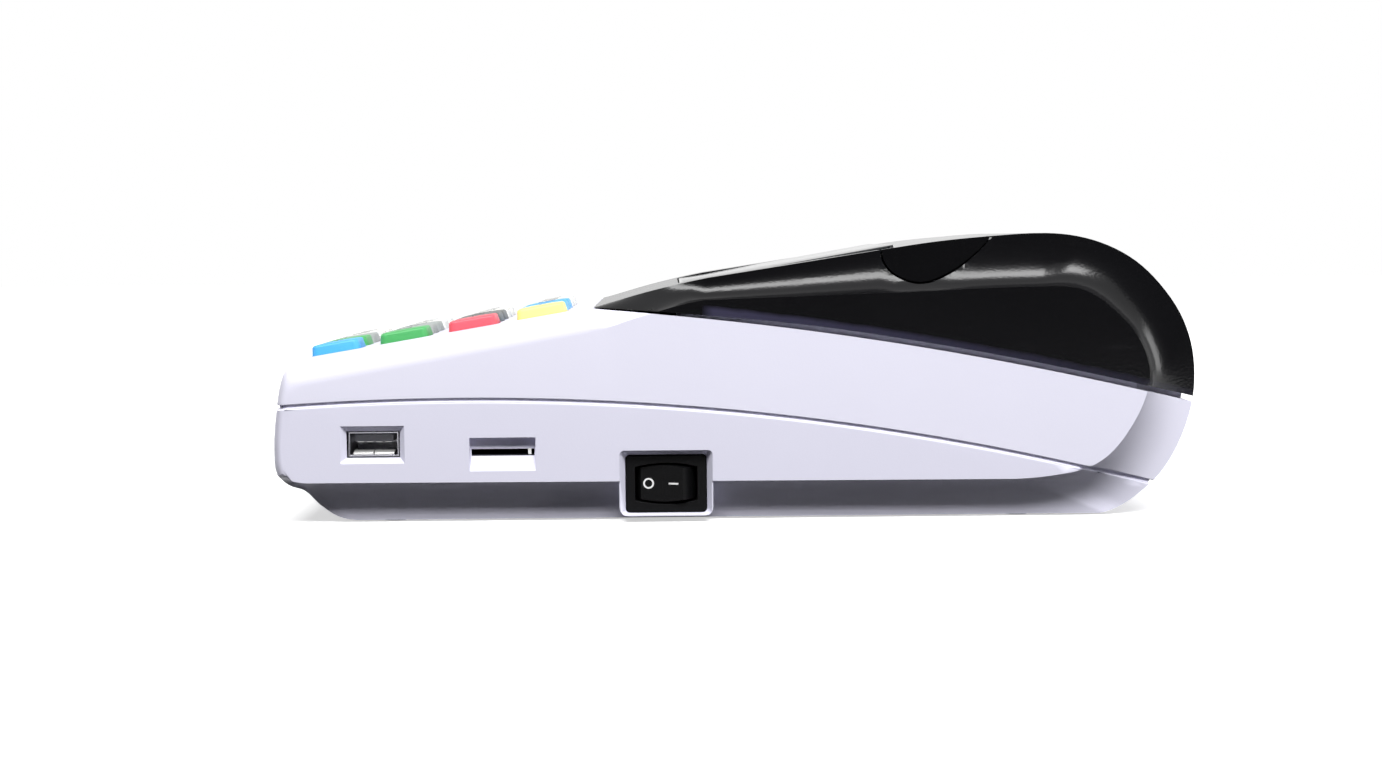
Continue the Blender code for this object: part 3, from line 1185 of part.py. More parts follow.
def battery():
    """Battery pack and the hatch under it."""
    half = BATTERY_WIDTH / 2.0
    x0, x1 = BATTERY_START, BATTERY_START + BATTERY_LENGTH
    hatch_top = BASE_LIFT + WALL / 2.0
    pack = box("battery_pack", (x0, x1), (-half, half), (hatch_top + GAP, BATTERY_TOP))
    finish(pack, BLACK)
    room = HATCH_MARGIN - GAP
    hatch = box("battery_cover", (x0 - room, x1 + room), (-half - room, half + room), (BASE_LIFT, hatch_top))
    finish(hatch, WHITE)


def rocker_tall(reach):
    """Half height of the rocker at a distance from its pivot: it falls with the square of that distance."""
    return ROCKER_TALL - ROCKER_FALL * (reach / ROCKER_SWEEP) ** 2


def bowed_outline(gap):
    """Front view of the rocker's opening: straight ends and bowed edges."""
    shares = [step / ROCKER_STEPS for step in range(-ROCKER_STEPS, ROCKER_STEPS + 1)]
    low = [(share * (ROCKER_SWEEP + gap), -rocker_tall(share * ROCKER_SWEEP) - gap) for share in shares]
    return low + [(x, -z) for x, z in reversed(low)]


def switch_housing():
    """Bezel and body of the rocker switch with the rocker's cavity."""
    outline = rounded(BEZEL_LENGTH / 2.0, BEZEL_HEIGHT / 2.0, BEZEL_ROUND, KEY_ROUND_STEPS)
    piece = slab("switch_housing", [(x + SWITCH_PLACE, z + SWITCH_HEIGHT) for x, z in outline], BEZEL_FACE,
                 BEZEL_FACE + BEZEL_THICK - GAP)
    half_x, half_z = BODY_LENGTH / 2.0, BODY_HEIGHT / 2.0
    join(piece, box("body", (SWITCH_PLACE - half_x, SWITCH_PLACE + half_x),
                    (BEZEL_FACE + BEZEL_THICK / 2.0, BEZEL_FACE + BEZEL_THICK + BODY_DEPTH),
                    (SWITCH_HEIGHT - half_z, SWITCH_HEIGHT + half_z)))
    room = [(x + SWITCH_PLACE, z + SWITCH_HEIGHT) for x, z in bowed_outline(GAP)]
    cut(piece, slab("room", room, -WIDTH, BEZEL_FACE + CAVITY_DEPTH))
    return finish(piece, BLACK)


def rocker_section():
    """Section across the pivot: two flat faces that meet in a valley, an arc at each end, and the hub."""
    span = ROCKER_CORNER - ROCKER_END
    right = [step_from((0.0, 0.0), ROCKER_SWEEP, ROCKER_CORNER - span * step / ROCKER_STEPS)
             for step in range(ROCKER_STEPS + 1)]
    hub_span = 180.0 + HUB_START + HUB_START
    hub = [step_from((0.0, 0.0), ROCKER_HUB, HUB_START - hub_span * step / ROCKER_STEPS)
           for step in range(ROCKER_STEPS + 1)]
    left = [(-x, depth) for x, depth in reversed(right)]
    return right + hub + left + [(0.0, ROCKER_VALLEY)]


def switch_rocker():
    """Rocker with a valley face, pressed at its O end, on an upright axis; its upper and lower sides bow."""
    rings = [[(x, -depth, level) for x, depth in rocker_section()] for level in (-ROCKER_TALL, ROCKER_TALL)]
    piece = loft("switch_rocker", rings)
    reaches = [(ROCKER_SWEEP + GAP) * step / ROCKER_STEPS for step in range(1, ROCKER_STEPS + 1)]
    levels = [(reach, rocker_tall(reach)) for reach in reaches]
    levels += [(reach, -tall) for reach, tall in reversed(levels)]
    keep(piece, loft("bow", [[(*spot, tall) for spot in circle((0.0, 0.0), reach, ROUND_SIDES)]
                             for reach, tall in levels]))
    piece.data.transform(Matrix.Translation((SWITCH_PLACE, PIVOT_Y, SWITCH_HEIGHT))
                         @ Matrix.Rotation(-math.radians(ROCKER_TILT), 4, "Z"))
    return pivot(finish(piece, BLACK, SMOOTH_ANGLE), (SWITCH_PLACE, PIVOT_Y, SWITCH_HEIGHT))


# Feet and screws

def feet_and_screws():
    """Four rubber feet in their recesses and four case screws from below."""
    names = ("front_near", "front_far", "rear_near", "rear_far")
    for name, place in zip(names, foot_places()):
        finish(rod_z("foot_" + name, place, FOOT_RADIUS, 0.0, FOOT_THICK, ROUND_SIDES), RUBBER, SMOOTH_ANGLE)
    for name, place in zip(names, screw_places()):
        low = BASE_LIFT + SCREW_SINK
        screw = rod_z("case_screw_" + name, place, SCREW_HEAD, low, low + SCREW_HEAD_THICK, SMALL_SIDES)
        join(screw, rod_z("shank", place, SCREW_RADIUS, low + SCREW_HEAD_THICK / 2.0, low + SCREW_LENGTH,
                          SMALL_SIDES))
        finish(screw, STEEL, SMOOTH_ANGLE)


clear_scene()
lower_case()
upper_case()
smoked_cover()
display_lens()
lcd_module()
paper_door()
hinge_pin()
platen_parts()
drive_parts()
printer_frame()
print_head()
head_spring()
tear_bar()
paper_roll()
paper_bin()
for key_row in range(KEY_ROWS):
    for key_column in range(KEY_COLUMNS):
        key(key_row, key_column)
keypad_mat()
keypad_board()
main_board()
usb_socket()
card_socket()
dc_jack()
battery()
switch_housing()
switch_rocker()
feet_and_screws()
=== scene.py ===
"""Portable ticket register: white two-part case, coloured keys, smoked cover and a ticket printer."""
import json
import math

import bmesh
import bpy
import numpy as np
from mathutils import Matrix, Vector


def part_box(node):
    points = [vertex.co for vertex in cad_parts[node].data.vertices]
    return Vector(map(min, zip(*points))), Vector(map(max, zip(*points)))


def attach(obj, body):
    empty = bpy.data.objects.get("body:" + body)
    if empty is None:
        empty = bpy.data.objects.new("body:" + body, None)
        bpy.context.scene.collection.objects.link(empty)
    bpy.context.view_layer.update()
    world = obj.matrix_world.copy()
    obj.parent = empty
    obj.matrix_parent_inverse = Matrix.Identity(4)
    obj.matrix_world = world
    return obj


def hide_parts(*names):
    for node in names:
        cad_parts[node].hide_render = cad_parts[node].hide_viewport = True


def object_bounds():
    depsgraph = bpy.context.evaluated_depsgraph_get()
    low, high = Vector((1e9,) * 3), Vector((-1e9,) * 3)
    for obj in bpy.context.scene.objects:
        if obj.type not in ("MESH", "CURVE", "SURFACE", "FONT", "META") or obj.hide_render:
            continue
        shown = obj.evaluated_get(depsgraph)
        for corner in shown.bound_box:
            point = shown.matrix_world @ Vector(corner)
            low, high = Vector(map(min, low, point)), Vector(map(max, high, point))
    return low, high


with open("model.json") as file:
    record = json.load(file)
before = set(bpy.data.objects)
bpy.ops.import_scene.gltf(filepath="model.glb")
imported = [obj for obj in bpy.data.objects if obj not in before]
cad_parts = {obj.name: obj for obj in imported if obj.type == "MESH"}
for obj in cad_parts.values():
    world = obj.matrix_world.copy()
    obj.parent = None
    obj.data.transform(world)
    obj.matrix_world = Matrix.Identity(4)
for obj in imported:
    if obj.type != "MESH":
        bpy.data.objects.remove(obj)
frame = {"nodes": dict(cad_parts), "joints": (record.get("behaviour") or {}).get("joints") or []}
cad_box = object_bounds()
nodes = frame["nodes"]
scene = bpy.context.scene

# Case: the outline and the seams that the two case halves, the cover and the door share.

LENGTH = cad_box[1].x - cad_box[0].x
HEIGHT = cad_box[1].z - cad_box[0].z
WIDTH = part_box("lower_case")[1].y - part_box("lower_case")[0].y
WALL = 0.0022
GAP = 0.0003
SEAM = 0.0010
LIP_WALL = 0.0015
LIP_RISE = 0.0028
LIP_ROOT = 0.0035
OVERRUN = 0.0200
DECK_ROLL, FRONT_ROLL, BASE_COVE, LID_COVE, REAR_COVE = 0.0065, 0.0050, 0.0070, 0.0060, 0.0080
FRONT_END, REAR_END = -LENGTH / 2.0 - OVERRUN, LENGTH / 2.0 + OVERRUN
ROOF, FLOOR = HEIGHT + OVERRUN, -OVERRUN
SHARP_ANGLE = math.radians(28.0)
EDGE_ROUND = 0.00035
SEAM_ROUND, SEAM_NEAR = 0.00045, 0.00002
SEAM_STEP, SEAM_STEP_WALL = 0.0006, 0.0010

# Side view of the case, anticlockwise from the front of the base: where the crown line and the flat side panel
# run, as shares of length and height, then the corner size and whether it is hollowed (1) or rounded over (0)
OUTLINE_SHARES = np.array((
    (-0.412, 0.007, -0.450, 0.150, BASE_COVE, 1.0), (0.397, 0.007, 0.300, 0.142, BASE_COVE, 1.0),
    (0.420, 0.031, 0.350, 0.158, REAR_COVE, 1.0), (0.441, 0.078, 0.379, 0.181, REAR_COVE, 1.0),
    (0.463, 0.146, 0.400, 0.223, REAR_COVE, 1.0), (0.482, 0.246, 0.420, 0.300, REAR_COVE, 1.0),
    (0.497, 0.390, 0.439, 0.419, REAR_COVE, 1.0), (0.500, 0.500, 0.444, 0.500, REAR_COVE, 1.0),
    (0.496, 0.610, 0.438, 0.590, REAR_COVE, 1.0), (0.484, 0.713, 0.427, 0.655, REAR_COVE, 1.0),
    (0.461, 0.820, 0.408, 0.722, REAR_COVE, 1.0), (0.435, 0.900, 0.387, 0.778, REAR_COVE, 1.0),
    (0.405, 0.955, 0.368, 0.806, REAR_COVE, 1.0), (0.372, 0.988, 0.350, 0.814, REAR_COVE, 1.0),
    (0.336, 1.000, 0.325, 0.814, LID_COVE, 1.0), (0.277, 0.991, 0.277, 0.811, LID_COVE, 1.0),
    (0.216, 0.973, 0.216, 0.803, LID_COVE, 1.0), (0.156, 0.945, 0.156, 0.796, LID_COVE, 1.0),
    (-0.030, 0.853, -0.035, 0.777, LID_COVE, 1.0), (-0.095, 0.806, -0.100, 0.724, LID_COVE, 0.5),
    (-0.160, 0.748, -0.160, 0.663, DECK_ROLL, 0.0), (-0.4705, 0.578, -0.467, 0.486, DECK_ROLL, 0.0),
    (-0.484, 0.558, -0.478, 0.466, FRONT_ROLL, 0.0), (-0.4915, 0.500, -0.484, 0.420, FRONT_ROLL, 0.0),
    (-0.4965, 0.405, -0.487, 0.365, FRONT_ROLL, 0.0), (-0.500, 0.270, -0.489, 0.243, FRONT_ROLL, 0.0),
    (-0.497, 0.172, -0.486, 0.186, FRONT_ROLL, 0.0), (-0.487, 0.134, -0.478, 0.158, BASE_COVE, 1.0),
    (-0.470, 0.114, -0.470, 0.151, BASE_COVE, 1.0), (-0.453, 0.062, -0.462, 0.150, BASE_COVE, 1.0),
    (-0.432, 0.018, -0.456, 0.150, BASE_COVE, 1.0)))
STRAIGHT_STRETCHES = (0, 17, 20)
STEPS_PER_STRETCH = 4
CORNER_STEPS = 9
CURVE_STEPS = 72
PARTING_PEAK_SHARES = (-0.300, 0.436)
PARTING_FALL_SHARE = 0.362
LID_NOSE_SHARE = -0.160
LEDGE_SHARES = (0.750, 0.162, 0.190)
COVER_SEAM = 0.0015
COVER_SEAM_RUN = 0.0600
TONGUE_START = 0.0220
NOSE = LID_NOSE_SHARE * LENGTH


def cubic(start, end, lean, next_lean, length, count):
    """Points from the start of a stretch to just before its end, leaving along one direction and arriving along
    the other."""
    share = (np.arange(count) / count)[:, None]
    left = 1.0 - share
    return (start * left ** 2 * (1.0 + 2.0 * share) + end * share ** 2 * (3.0 - 2.0 * share)
            + lean * length * share * left ** 2 - next_lean * length * share ** 2 * left)


def smooth_loop(path, steps):
    """A closed path with smooth stretches. Each is a cubic whose ends lean towards the mean direction of the
    stretches that meet there, scaled by its own length. Straight stretches keep only their ends."""
    after = np.roll(path, -1, axis=0)
    run = after - path
    length = np.linalg.norm(run, axis=1, keepdims=True)
    unit = run / length
    lean = unit + np.roll(unit, 1, axis=0)
    lean = lean / np.linalg.norm(lean, axis=1, keepdims=True)
    rows = []
    for index in range(len(path)):
        count = 1 if index in STRAIGHT_STRETCHES else steps
        rows.append(cubic(path[index], after[index], lean[index], lean[(index + 1) % len(path)], length[index],
                          count))
    return np.concatenate(rows)


def spread_values(values, steps):
    """Corner sizes and cove weights blended evenly along each stretch of the loop."""
    rows = []
    for index in range(len(values)):
        count = 1 if index in STRAIGHT_STRETCHES else steps
        share = (np.arange(count) / count)[:, None]
        rows.append(values[index] * (1.0 - share) + values[(index + 1) % len(values)] * share)
    return np.concatenate(rows)


def moved_in(path, inset):
    """A closed path moved inwards along its own normal, the left side of its direction."""
    run = np.roll(path, -1, axis=0) - np.roll(path, 1, axis=0)
    run = run / np.linalg.norm(run, axis=1, keepdims=True)
    return path + inset * np.stack((-run[:, 1], run[:, 0]), axis=1)


def place_mesh(name, corners, faces):
    """A mesh object at the origin from arrays of corners and faces, with its faces turned outwards."""
    mesh = bpy.data.meshes.new(name)
    mesh.from_pydata(np.asarray(corners).reshape(-1, 3).tolist(), [], faces)
    shape = bmesh.new()
    shape.from_mesh(mesh)
    bmesh.ops.recalc_face_normals(shape, faces=shape.faces)
    shape.to_mesh(mesh)
    shape.free()
    piece = bpy.data.objects.new(name, mesh)
    scene.collection.objects.link(piece)
    return piece


def ring_skin(name, rings):
    """Quads between neighbouring rings of an array (rings, corners, 3), and a flat cap on the first and last."""
    rings = np.asarray(rings)
    levels, count = rings.shape[:2]
    index = np.arange(levels * count).reshape(levels, count)
    following = np.roll(index, -1, axis=1)
    quads = np.stack((index[:-1], following[:-1], following[1:], index[1:]), axis=-1).reshape(-1, 4)
    faces = quads.tolist() + [index[0].tolist(), index[-1].tolist()]
    return place_mesh(name, rings, faces)


def envelope(name, inset=0.0):
    """The whole case as a surface of two parameters: along the outline, and over the corner from the flat side
    panel to the crown line. A rounded corner goes cosine-wise inwards and sine-wise outwards, a hollowed one the
    other way round, and the far side mirrors the near one."""
    scale = np.array((LENGTH, HEIGHT, LENGTH, HEIGHT, 1.0, 1.0))
    table = OUTLINE_SHARES * scale
    crown = moved_in(smooth_loop(table[:, 0:2], STEPS_PER_STRETCH), inset)
    panel = moved_in(smooth_loop(table[:, 2:4], STEPS_PER_STRETCH), inset)
    corner, cove = spread_values(table[:, 4:6], STEPS_PER_STRETCH).T
    turn = np.linspace(0.0, math.pi / 2.0, CORNER_STEPS + 1)[:, None]
    depth = corner * ((1.0 - cove) * (1.0 - np.cos(turn)) + cove * np.sin(turn))
    reach = (1.0 - cove) * np.sin(turn) + cove * (1.0 - np.cos(turn))
    x = panel[:, 0] + (crown[:, 0] - panel[:, 0]) * reach
    z = panel[:, 1] + (crown[:, 1] - panel[:, 1]) * reach
    near = np.stack((x, depth - WIDTH / 2.0 + inset, z), axis=-1)
    far = near[::-1] * np.array((1.0, -1.0, 1.0))
    return ring_skin(name, np.concatenate((near, far)))


def slab(name, outline, near, far):
    """An XZ outline carried straight along Y."""
    outline = np.asarray(outline, float)
    ring = np.stack((outline[:, 0], np.zeros(len(outline)), outline[:, 1]), axis=-1)
    return ring_skin(name, np.stack((ring + (0.0, near, 0.0), ring + (0.0, far, 0.0))))


def block(name, low, high):
    """A straight cutter between two corners."""
    (x0, y0, z0), (x1, y1, z1) = low, high
    return slab(name, ((x0, z0), (x1, z0), (x1, z1), (x0, z1)), y0, y1)


def apply_tool(piece, tool, operation):
    """One exact Boolean, applied, after which the tool goes."""
    step = piece.modifiers.new(operation, "BOOLEAN")
    step.operation, step.solver, step.object = operation, "EXACT", tool
    bpy.context.view_layer.update()
    made = bpy.data.meshes.new_from_object(piece.evaluated_get(bpy.context.evaluated_depsgraph_get()))
    piece.modifiers.remove(step)
    piece.data = made
    bpy.data.objects.remove(tool, do_unlink=True)
    return piece


def cut(piece, *tools):
    for tool in tools:
        apply_tool(piece, tool, "DIFFERENCE")
    return piece


def join(piece, *tools):
    for tool in tools:
        apply_tool(piece, tool, "UNION")
    return piece


def keep(piece, tool):
    return apply_tool(piece, tool, "INTERSECT")


def parting_height(x):
    """The seam between the two cases, a parabola from its peak down to the rear."""
    run = (x - PARTING_PEAK_SHARES[0] * LENGTH) / (LENGTH / 2.0 - PARTING_PEAK_SHARES[0] * LENGTH)
    return HEIGHT * (PARTING_PEAK_SHARES[1] - PARTING_FALL_SHARE * run ** 2)


def ledge_height(x):
    """Top edge of the white case: a straight fall plus a curved fall from the nose to the rear."""
    run = (x - NOSE) / (LENGTH / 2.0 - NOSE)
    return HEIGHT * (LEDGE_SHARES[0] - LEDGE_SHARES[1] * run - LEDGE_SHARES[2] * run ** 2)


def cover_foot(x):
    """Lower edge of the cover: the ledge plus a seam that widens from the nose."""
    share = np.clip((x - NOSE) / COVER_SEAM_RUN, 0.0, 1.0)
    return ledge_height(x) + GAP + (COVER_SEAM - GAP) * share


def curve(height, start, end, shift=0.0):
    """Points of a height function between two places on X."""
    x = np.linspace(start, end, CURVE_STEPS + 1)
    return np.stack((x, height(x) + shift), axis=1)


def shell_band(name, outer, inner, low, high):
    """The part of a shell between two curves."""
    piece = envelope(name, outer)
    cut(piece, envelope("inside", inner))
    return keep(piece, slab("between", np.concatenate((low, high[::-1])), -WIDTH, WIDTH))


def lip(name, height, start):
    """A tongue behind a seam: a root in the wall and a thinner rise."""
    outer = WALL + GAP
    root = shell_band(name, WALL / 2.0, outer + LIP_WALL / 2.0, curve(height, start, REAR_END, -LIP_ROOT),
                      curve(height, start, REAR_END, -SEAM))
    behind = start + SEAM
    rise = shell_band("rise", outer, outer + LIP_WALL, curve(height, behind, REAR_END, SEAM - LIP_ROOT),
                      curve(height, behind, REAR_END, LIP_RISE))
    return join(root, rise)


def split_faces(piece):
    """Faces of many corners, which a Boolean leaves, are split into well-shaped triangles before a bevel."""
    shape = bmesh.new()
    shape.from_mesh(piece.data)
    many = [face for face in shape.faces if len(face.verts) > 4]
    bmesh.ops.triangulate(shape, faces=many, quad_method="BEAUTY", ngon_method="BEAUTY")
    shape.to_mesh(piece.data)
    shape.free()


def round_edges(piece, width, segments=2):
    """Small moulded radii on the sharp edges, with smooth faces between them."""
    split_faces(piece)
    piece.data.shade_smooth()
    bevel = piece.modifiers.new("moulded_edges", "BEVEL")
    bevel.width, bevel.segments, bevel.limit_method, bevel.angle_limit = width, segments, "ANGLE", SHARP_ANGLE
    bevel.use_clamp_overlap = True
    bevel.harden_normals = False
    weigh = piece.modifiers.new("even_faces", "WEIGHTED_NORMAL")
    weigh.keep_sharp = True
    weigh.weight = 60
    return piece


def soft_seam(piece, height, width):
    """A wider round on the edges that follow a height curve, picked by their weight."""
    shape = bmesh.new()
    shape.from_mesh(piece.data)
    weight = shape.edges.layers.float.new("bevel_weight_edge")
    for edge in shape.edges:
        on_curve = all(abs(corner.co.z - height(corner.co.x)) < SEAM_NEAR for corner in edge.verts)
        if on_curve and len(edge.link_faces) == 2 and edge.calc_face_angle() > SHARP_ANGLE:
            edge[weight] = 1.0
    shape.to_mesh(piece.data)
    shape.free()
    bevel = piece.modifiers.new("seam_round", "BEVEL")
    bevel.width, bevel.segments, bevel.limit_method = width, 4, "WEIGHT"
    bevel.use_clamp_overlap = False
    return piece


def rounded(half_x, half_y, radius, steps=5):
    """A rectangle with round corners: four quarter circles joined by straight sides."""
    turn = np.concatenate([np.linspace(q, q + 1, steps + 1) for q in range(4)]) * math.pi / 2.0
    side = np.repeat(((1, 1), (-1, 1), (-1, -1), (1, -1)), steps + 1, axis=0)
    return side * (half_x - radius, half_y - radius) + radius * np.stack((np.cos(turn), np.sin(turn)), axis=1)


def add_node(tree, kind, inputs=None, **settings):
    """A new node with its settings. Each input takes a plain value or the output of another node."""
    node = tree.nodes.new(kind)
    for setting, value in settings.items():
        setattr(node, setting, value)
    for socket, value in (inputs or {}).items():
        if isinstance(value, bpy.types.NodeSocket):
            tree.links.new(value, node.inputs[socket])
        else:
            node.inputs[socket].default_value = value
    return node


def maths(tree, operation, *values, clamp=False):
    """The result of a Math node on values or other nodes' outputs."""
    inputs = dict(enumerate(values))
    return add_node(tree, "ShaderNodeMath", inputs, operation=operation, use_clamp=clamp).outputs[0]


def noise(tree, place, **inputs):
    """Noise at a place, with the inputs named in lower case."""
    named = {name.capitalize(): value for name, value in inputs.items()}
    return add_node(tree, "ShaderNodeTexNoise", {"Vector": place, **named}).outputs["Fac"]


def object_place(tree):
    return add_node(tree, "ShaderNodeTexCoord").outputs["Object"]


WEAR_INPUTS = (("Colour", (0.8, 0.8, 0.8, 1.0)), ("Mottle", 0.05), ("Mottle size", 40.0), ("Grain size", 3000.0),
               ("Grain depth", 0.1), ("Roughness", 0.4), ("Smear", 0.1), ("Scuff", 0.1))
SCUFF_STRETCH, SCUFF_TURN = (90.0, 900.0, 500.0), (0.3, 0.5, 0.2)


def surface_wear():
    """Shader group for handled plastic, rubber and metal: a fine grain for the bump, a slow mottling of the
    colour, and smears and thin scuffs that change the roughness."""
    group = bpy.data.node_groups.new("surface_wear", "ShaderNodeTree")
    for name, value in WEAR_INPUTS:
        kind = "NodeSocketColor" if name == "Colour" else "NodeSocketFloat"
        group.interface.new_socket(name, in_out="INPUT", socket_type=kind).default_value = value
    for name, kind in (("Colour", "Color"), ("Roughness", "Float"), ("Normal", "Vector")):
        group.interface.new_socket(name, in_out="OUTPUT", socket_type="NodeSocket" + kind)
    given, place = add_node(group, "NodeGroupInput").outputs, object_place(group)
    mottle = noise(group, place, scale=given["Mottle size"], detail=4.0)
    amount = maths(group, "MULTIPLY_ADD", maths(group, "SUBTRACT", mottle, 0.5), given["Mottle"], 1.0)
    tint = add_node(group, "ShaderNodeVectorMath", {0: given["Colour"], "Scale": amount}, operation="SCALE")
    smear = maths(group, "SUBTRACT", noise(group, place, scale=28.0, detail=6.0, distortion=1.2), 0.5)
    smeared = maths(group, "MULTIPLY_ADD", smear, given["Smear"], given["Roughness"])
    stretch = add_node(group, "ShaderNodeMapping",
                       {"Vector": place, "Scale": SCUFF_STRETCH, "Rotation": SCUFF_TURN}).outputs["Vector"]
    scuff = noise(group, stretch, scale=1.0, detail=3.0)
    thin = add_node(group, "ShaderNodeMapRange", {"Value": scuff, "From Min": 0.62, "From Max": 0.75})
    scuffed = maths(group, "MULTIPLY_ADD", thin.outputs["Result"], given["Scuff"], smeared, clamp=True)
    grain = noise(group, place, scale=given["Grain size"], detail=2.0)
    bump = add_node(group, "ShaderNodeBump", {"Distance": 0.0001, "Strength": given["Grain depth"],
                                              "Height": grain}).outputs["Normal"]
    add_node(group, "NodeGroupOutput", {"Colour": tint.outputs[0], "Roughness": scuffed, "Normal": bump})
    return group


WEAR = surface_wear()


def worn_material(name, colour, roughness, metallic=0.0, mottle=0.05, mottle_size=40.0, grain=3000.0, depth=0.1,
                  smear=0.1, scuff=0.1, coat=0.0, specular=0.5):
    """A Principled material whose colour, roughness and normal come from the wear group."""
    material = bpy.data.materials.new(name)
    material.use_nodes = True
    tree = material.node_tree
    shader = tree.nodes["Principled BSDF"]
    shader.inputs["Metallic"].default_value = metallic
    shader.inputs["Coat Weight"].default_value = coat
    shader.inputs["Coat Roughness"].default_value = 0.05
    shader.inputs["Specular IOR Level"].default_value = specular
    wear = add_node(tree, "ShaderNodeGroup", node_tree=WEAR, name="wear")
    for socket, value in (("Colour", (*colour, 1.0)), ("Mottle", mottle), ("Mottle size", mottle_size),
                          ("Grain size", grain), ("Grain depth", depth), ("Roughness", roughness),
                          ("Smear", smear), ("Scuff", scuff)):
        wear.inputs[socket].default_value = value
    for source, target in (("Colour", "Base Color"), ("Roughness", "Roughness"), ("Normal", "Normal")):
        tree.links.new(wear.outputs[source], shader.inputs[target])
    return material


def colour_ends(material):
    """A worn material's tree, its wear group's colour and its shader's colour, for a pattern between them."""
    tree = material.node_tree
    return tree, tree.nodes["wear"].outputs["Colour"], tree.nodes["Principled BSDF"].inputs["Base Color"]


def colour_mix(tree, share, first, second, blend="MIX"):
    """Two colours mixed by a share."""
    return add_node(tree, "ShaderNodeMix", {"Factor": share, "A": first, "B": second}, data_type="RGBA",
                    blend_type=blend).outputs["Result"]


def dress(piece, material):
    """One material on a whole piece."""
    piece.data.materials.clear()
    piece.data.materials.append(material)
    for polygon in piece.data.polygons:
        polygon.material_index = 0
    return piece


def dress_node(name, material):
    """A new material on a carried-over solid, whose mesh stays as it is."""
    node = nodes[name]
    node.data.materials.clear()
    node.data.materials.append(material)
    return node


WHITE_LOWER = (0.745, 0.735, 0.860)
WHITE_UPPER = (0.800, 0.790, 0.915)
white_lower = worn_material("white_lower_plastic", WHITE_LOWER, 0.42, mottle=0.03, grain=2600.0, depth=0.16,
                            smear=0.10, scuff=0.08, specular=0.14)
white_upper = worn_material("white_upper_plastic", WHITE_UPPER, 0.40, mottle=0.03, grain=2600.0, depth=0.16,
                            smear=0.10, scuff=0.08, specular=0.14)

SWITCH_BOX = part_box("switch_housing")
SWITCH_MIDDLE = (SWITCH_BOX[0] + SWITCH_BOX[1]) / 2.0
POCKET_HALF_LENGTH, POCKET_HALF_HEIGHT = 0.01215, 0.00880
MOUTH_HALF_LENGTH, MOUTH_HALF_HEIGHT, MOUTH_LIFT = 0.01205, 0.00850, 0.00040
SEAT_HALF_LENGTH, SEAT_HALF_HEIGHT = 0.01062, 0.00762
POCKET_LIFT, POCKET_CORNER, MOUTH_CORNER = 0.00055, 0.0022, 0.0012
POCKET_SINK = 0.0004
POCKET_SEAT = 0.0042
BODY_HALF_LENGTH, BODY_HALF_HEIGHT = 0.0099, 0.0068
USB_BOX, CARD_BOX, JACK_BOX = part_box("usb_socket"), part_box("card_socket"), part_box("dc_jack")
USB_HALF_WINDOW, USB_HALF_HEIGHT, USB_CHAMFER = 0.0069, 0.0035, 0.0011
CARD_HALF_RECESS, CARD_TOP, CARD_BOTTOM, CARD_RECESS = 0.00855, 0.0225, 0.0138, 0.0021
CARD_HALF_SLOT, CARD_SLOT_HEIGHT = 0.00815, 0.0018
JACK_HOLE = 0.0035


def tapered(name, centre, half_x, half_z, spread, near, far):
    """A window that widens evenly from its inner to its outer rectangle."""
    corners = np.array(((-1, -1), (1, -1), (1, 1), (-1, 1)), float)
    rings = []
    for y, extra in ((near, 0.0), (far, spread)):
        flat = corners * (half_x + extra, half_z + extra) + centre
        rings.append(np.stack((flat[:, 0], np.full(4, y), flat[:, 1]), axis=-1))
    return ring_skin(name, np.stack(rings))


def circle(centre, radius, count, phase=0.0):
    """Even points round a centre."""
    turn = phase + np.arange(count) * 2.0 * math.pi / count
    return np.stack((centre[0] + radius * np.cos(turn), centre[1] + radius * np.sin(turn)), axis=1)


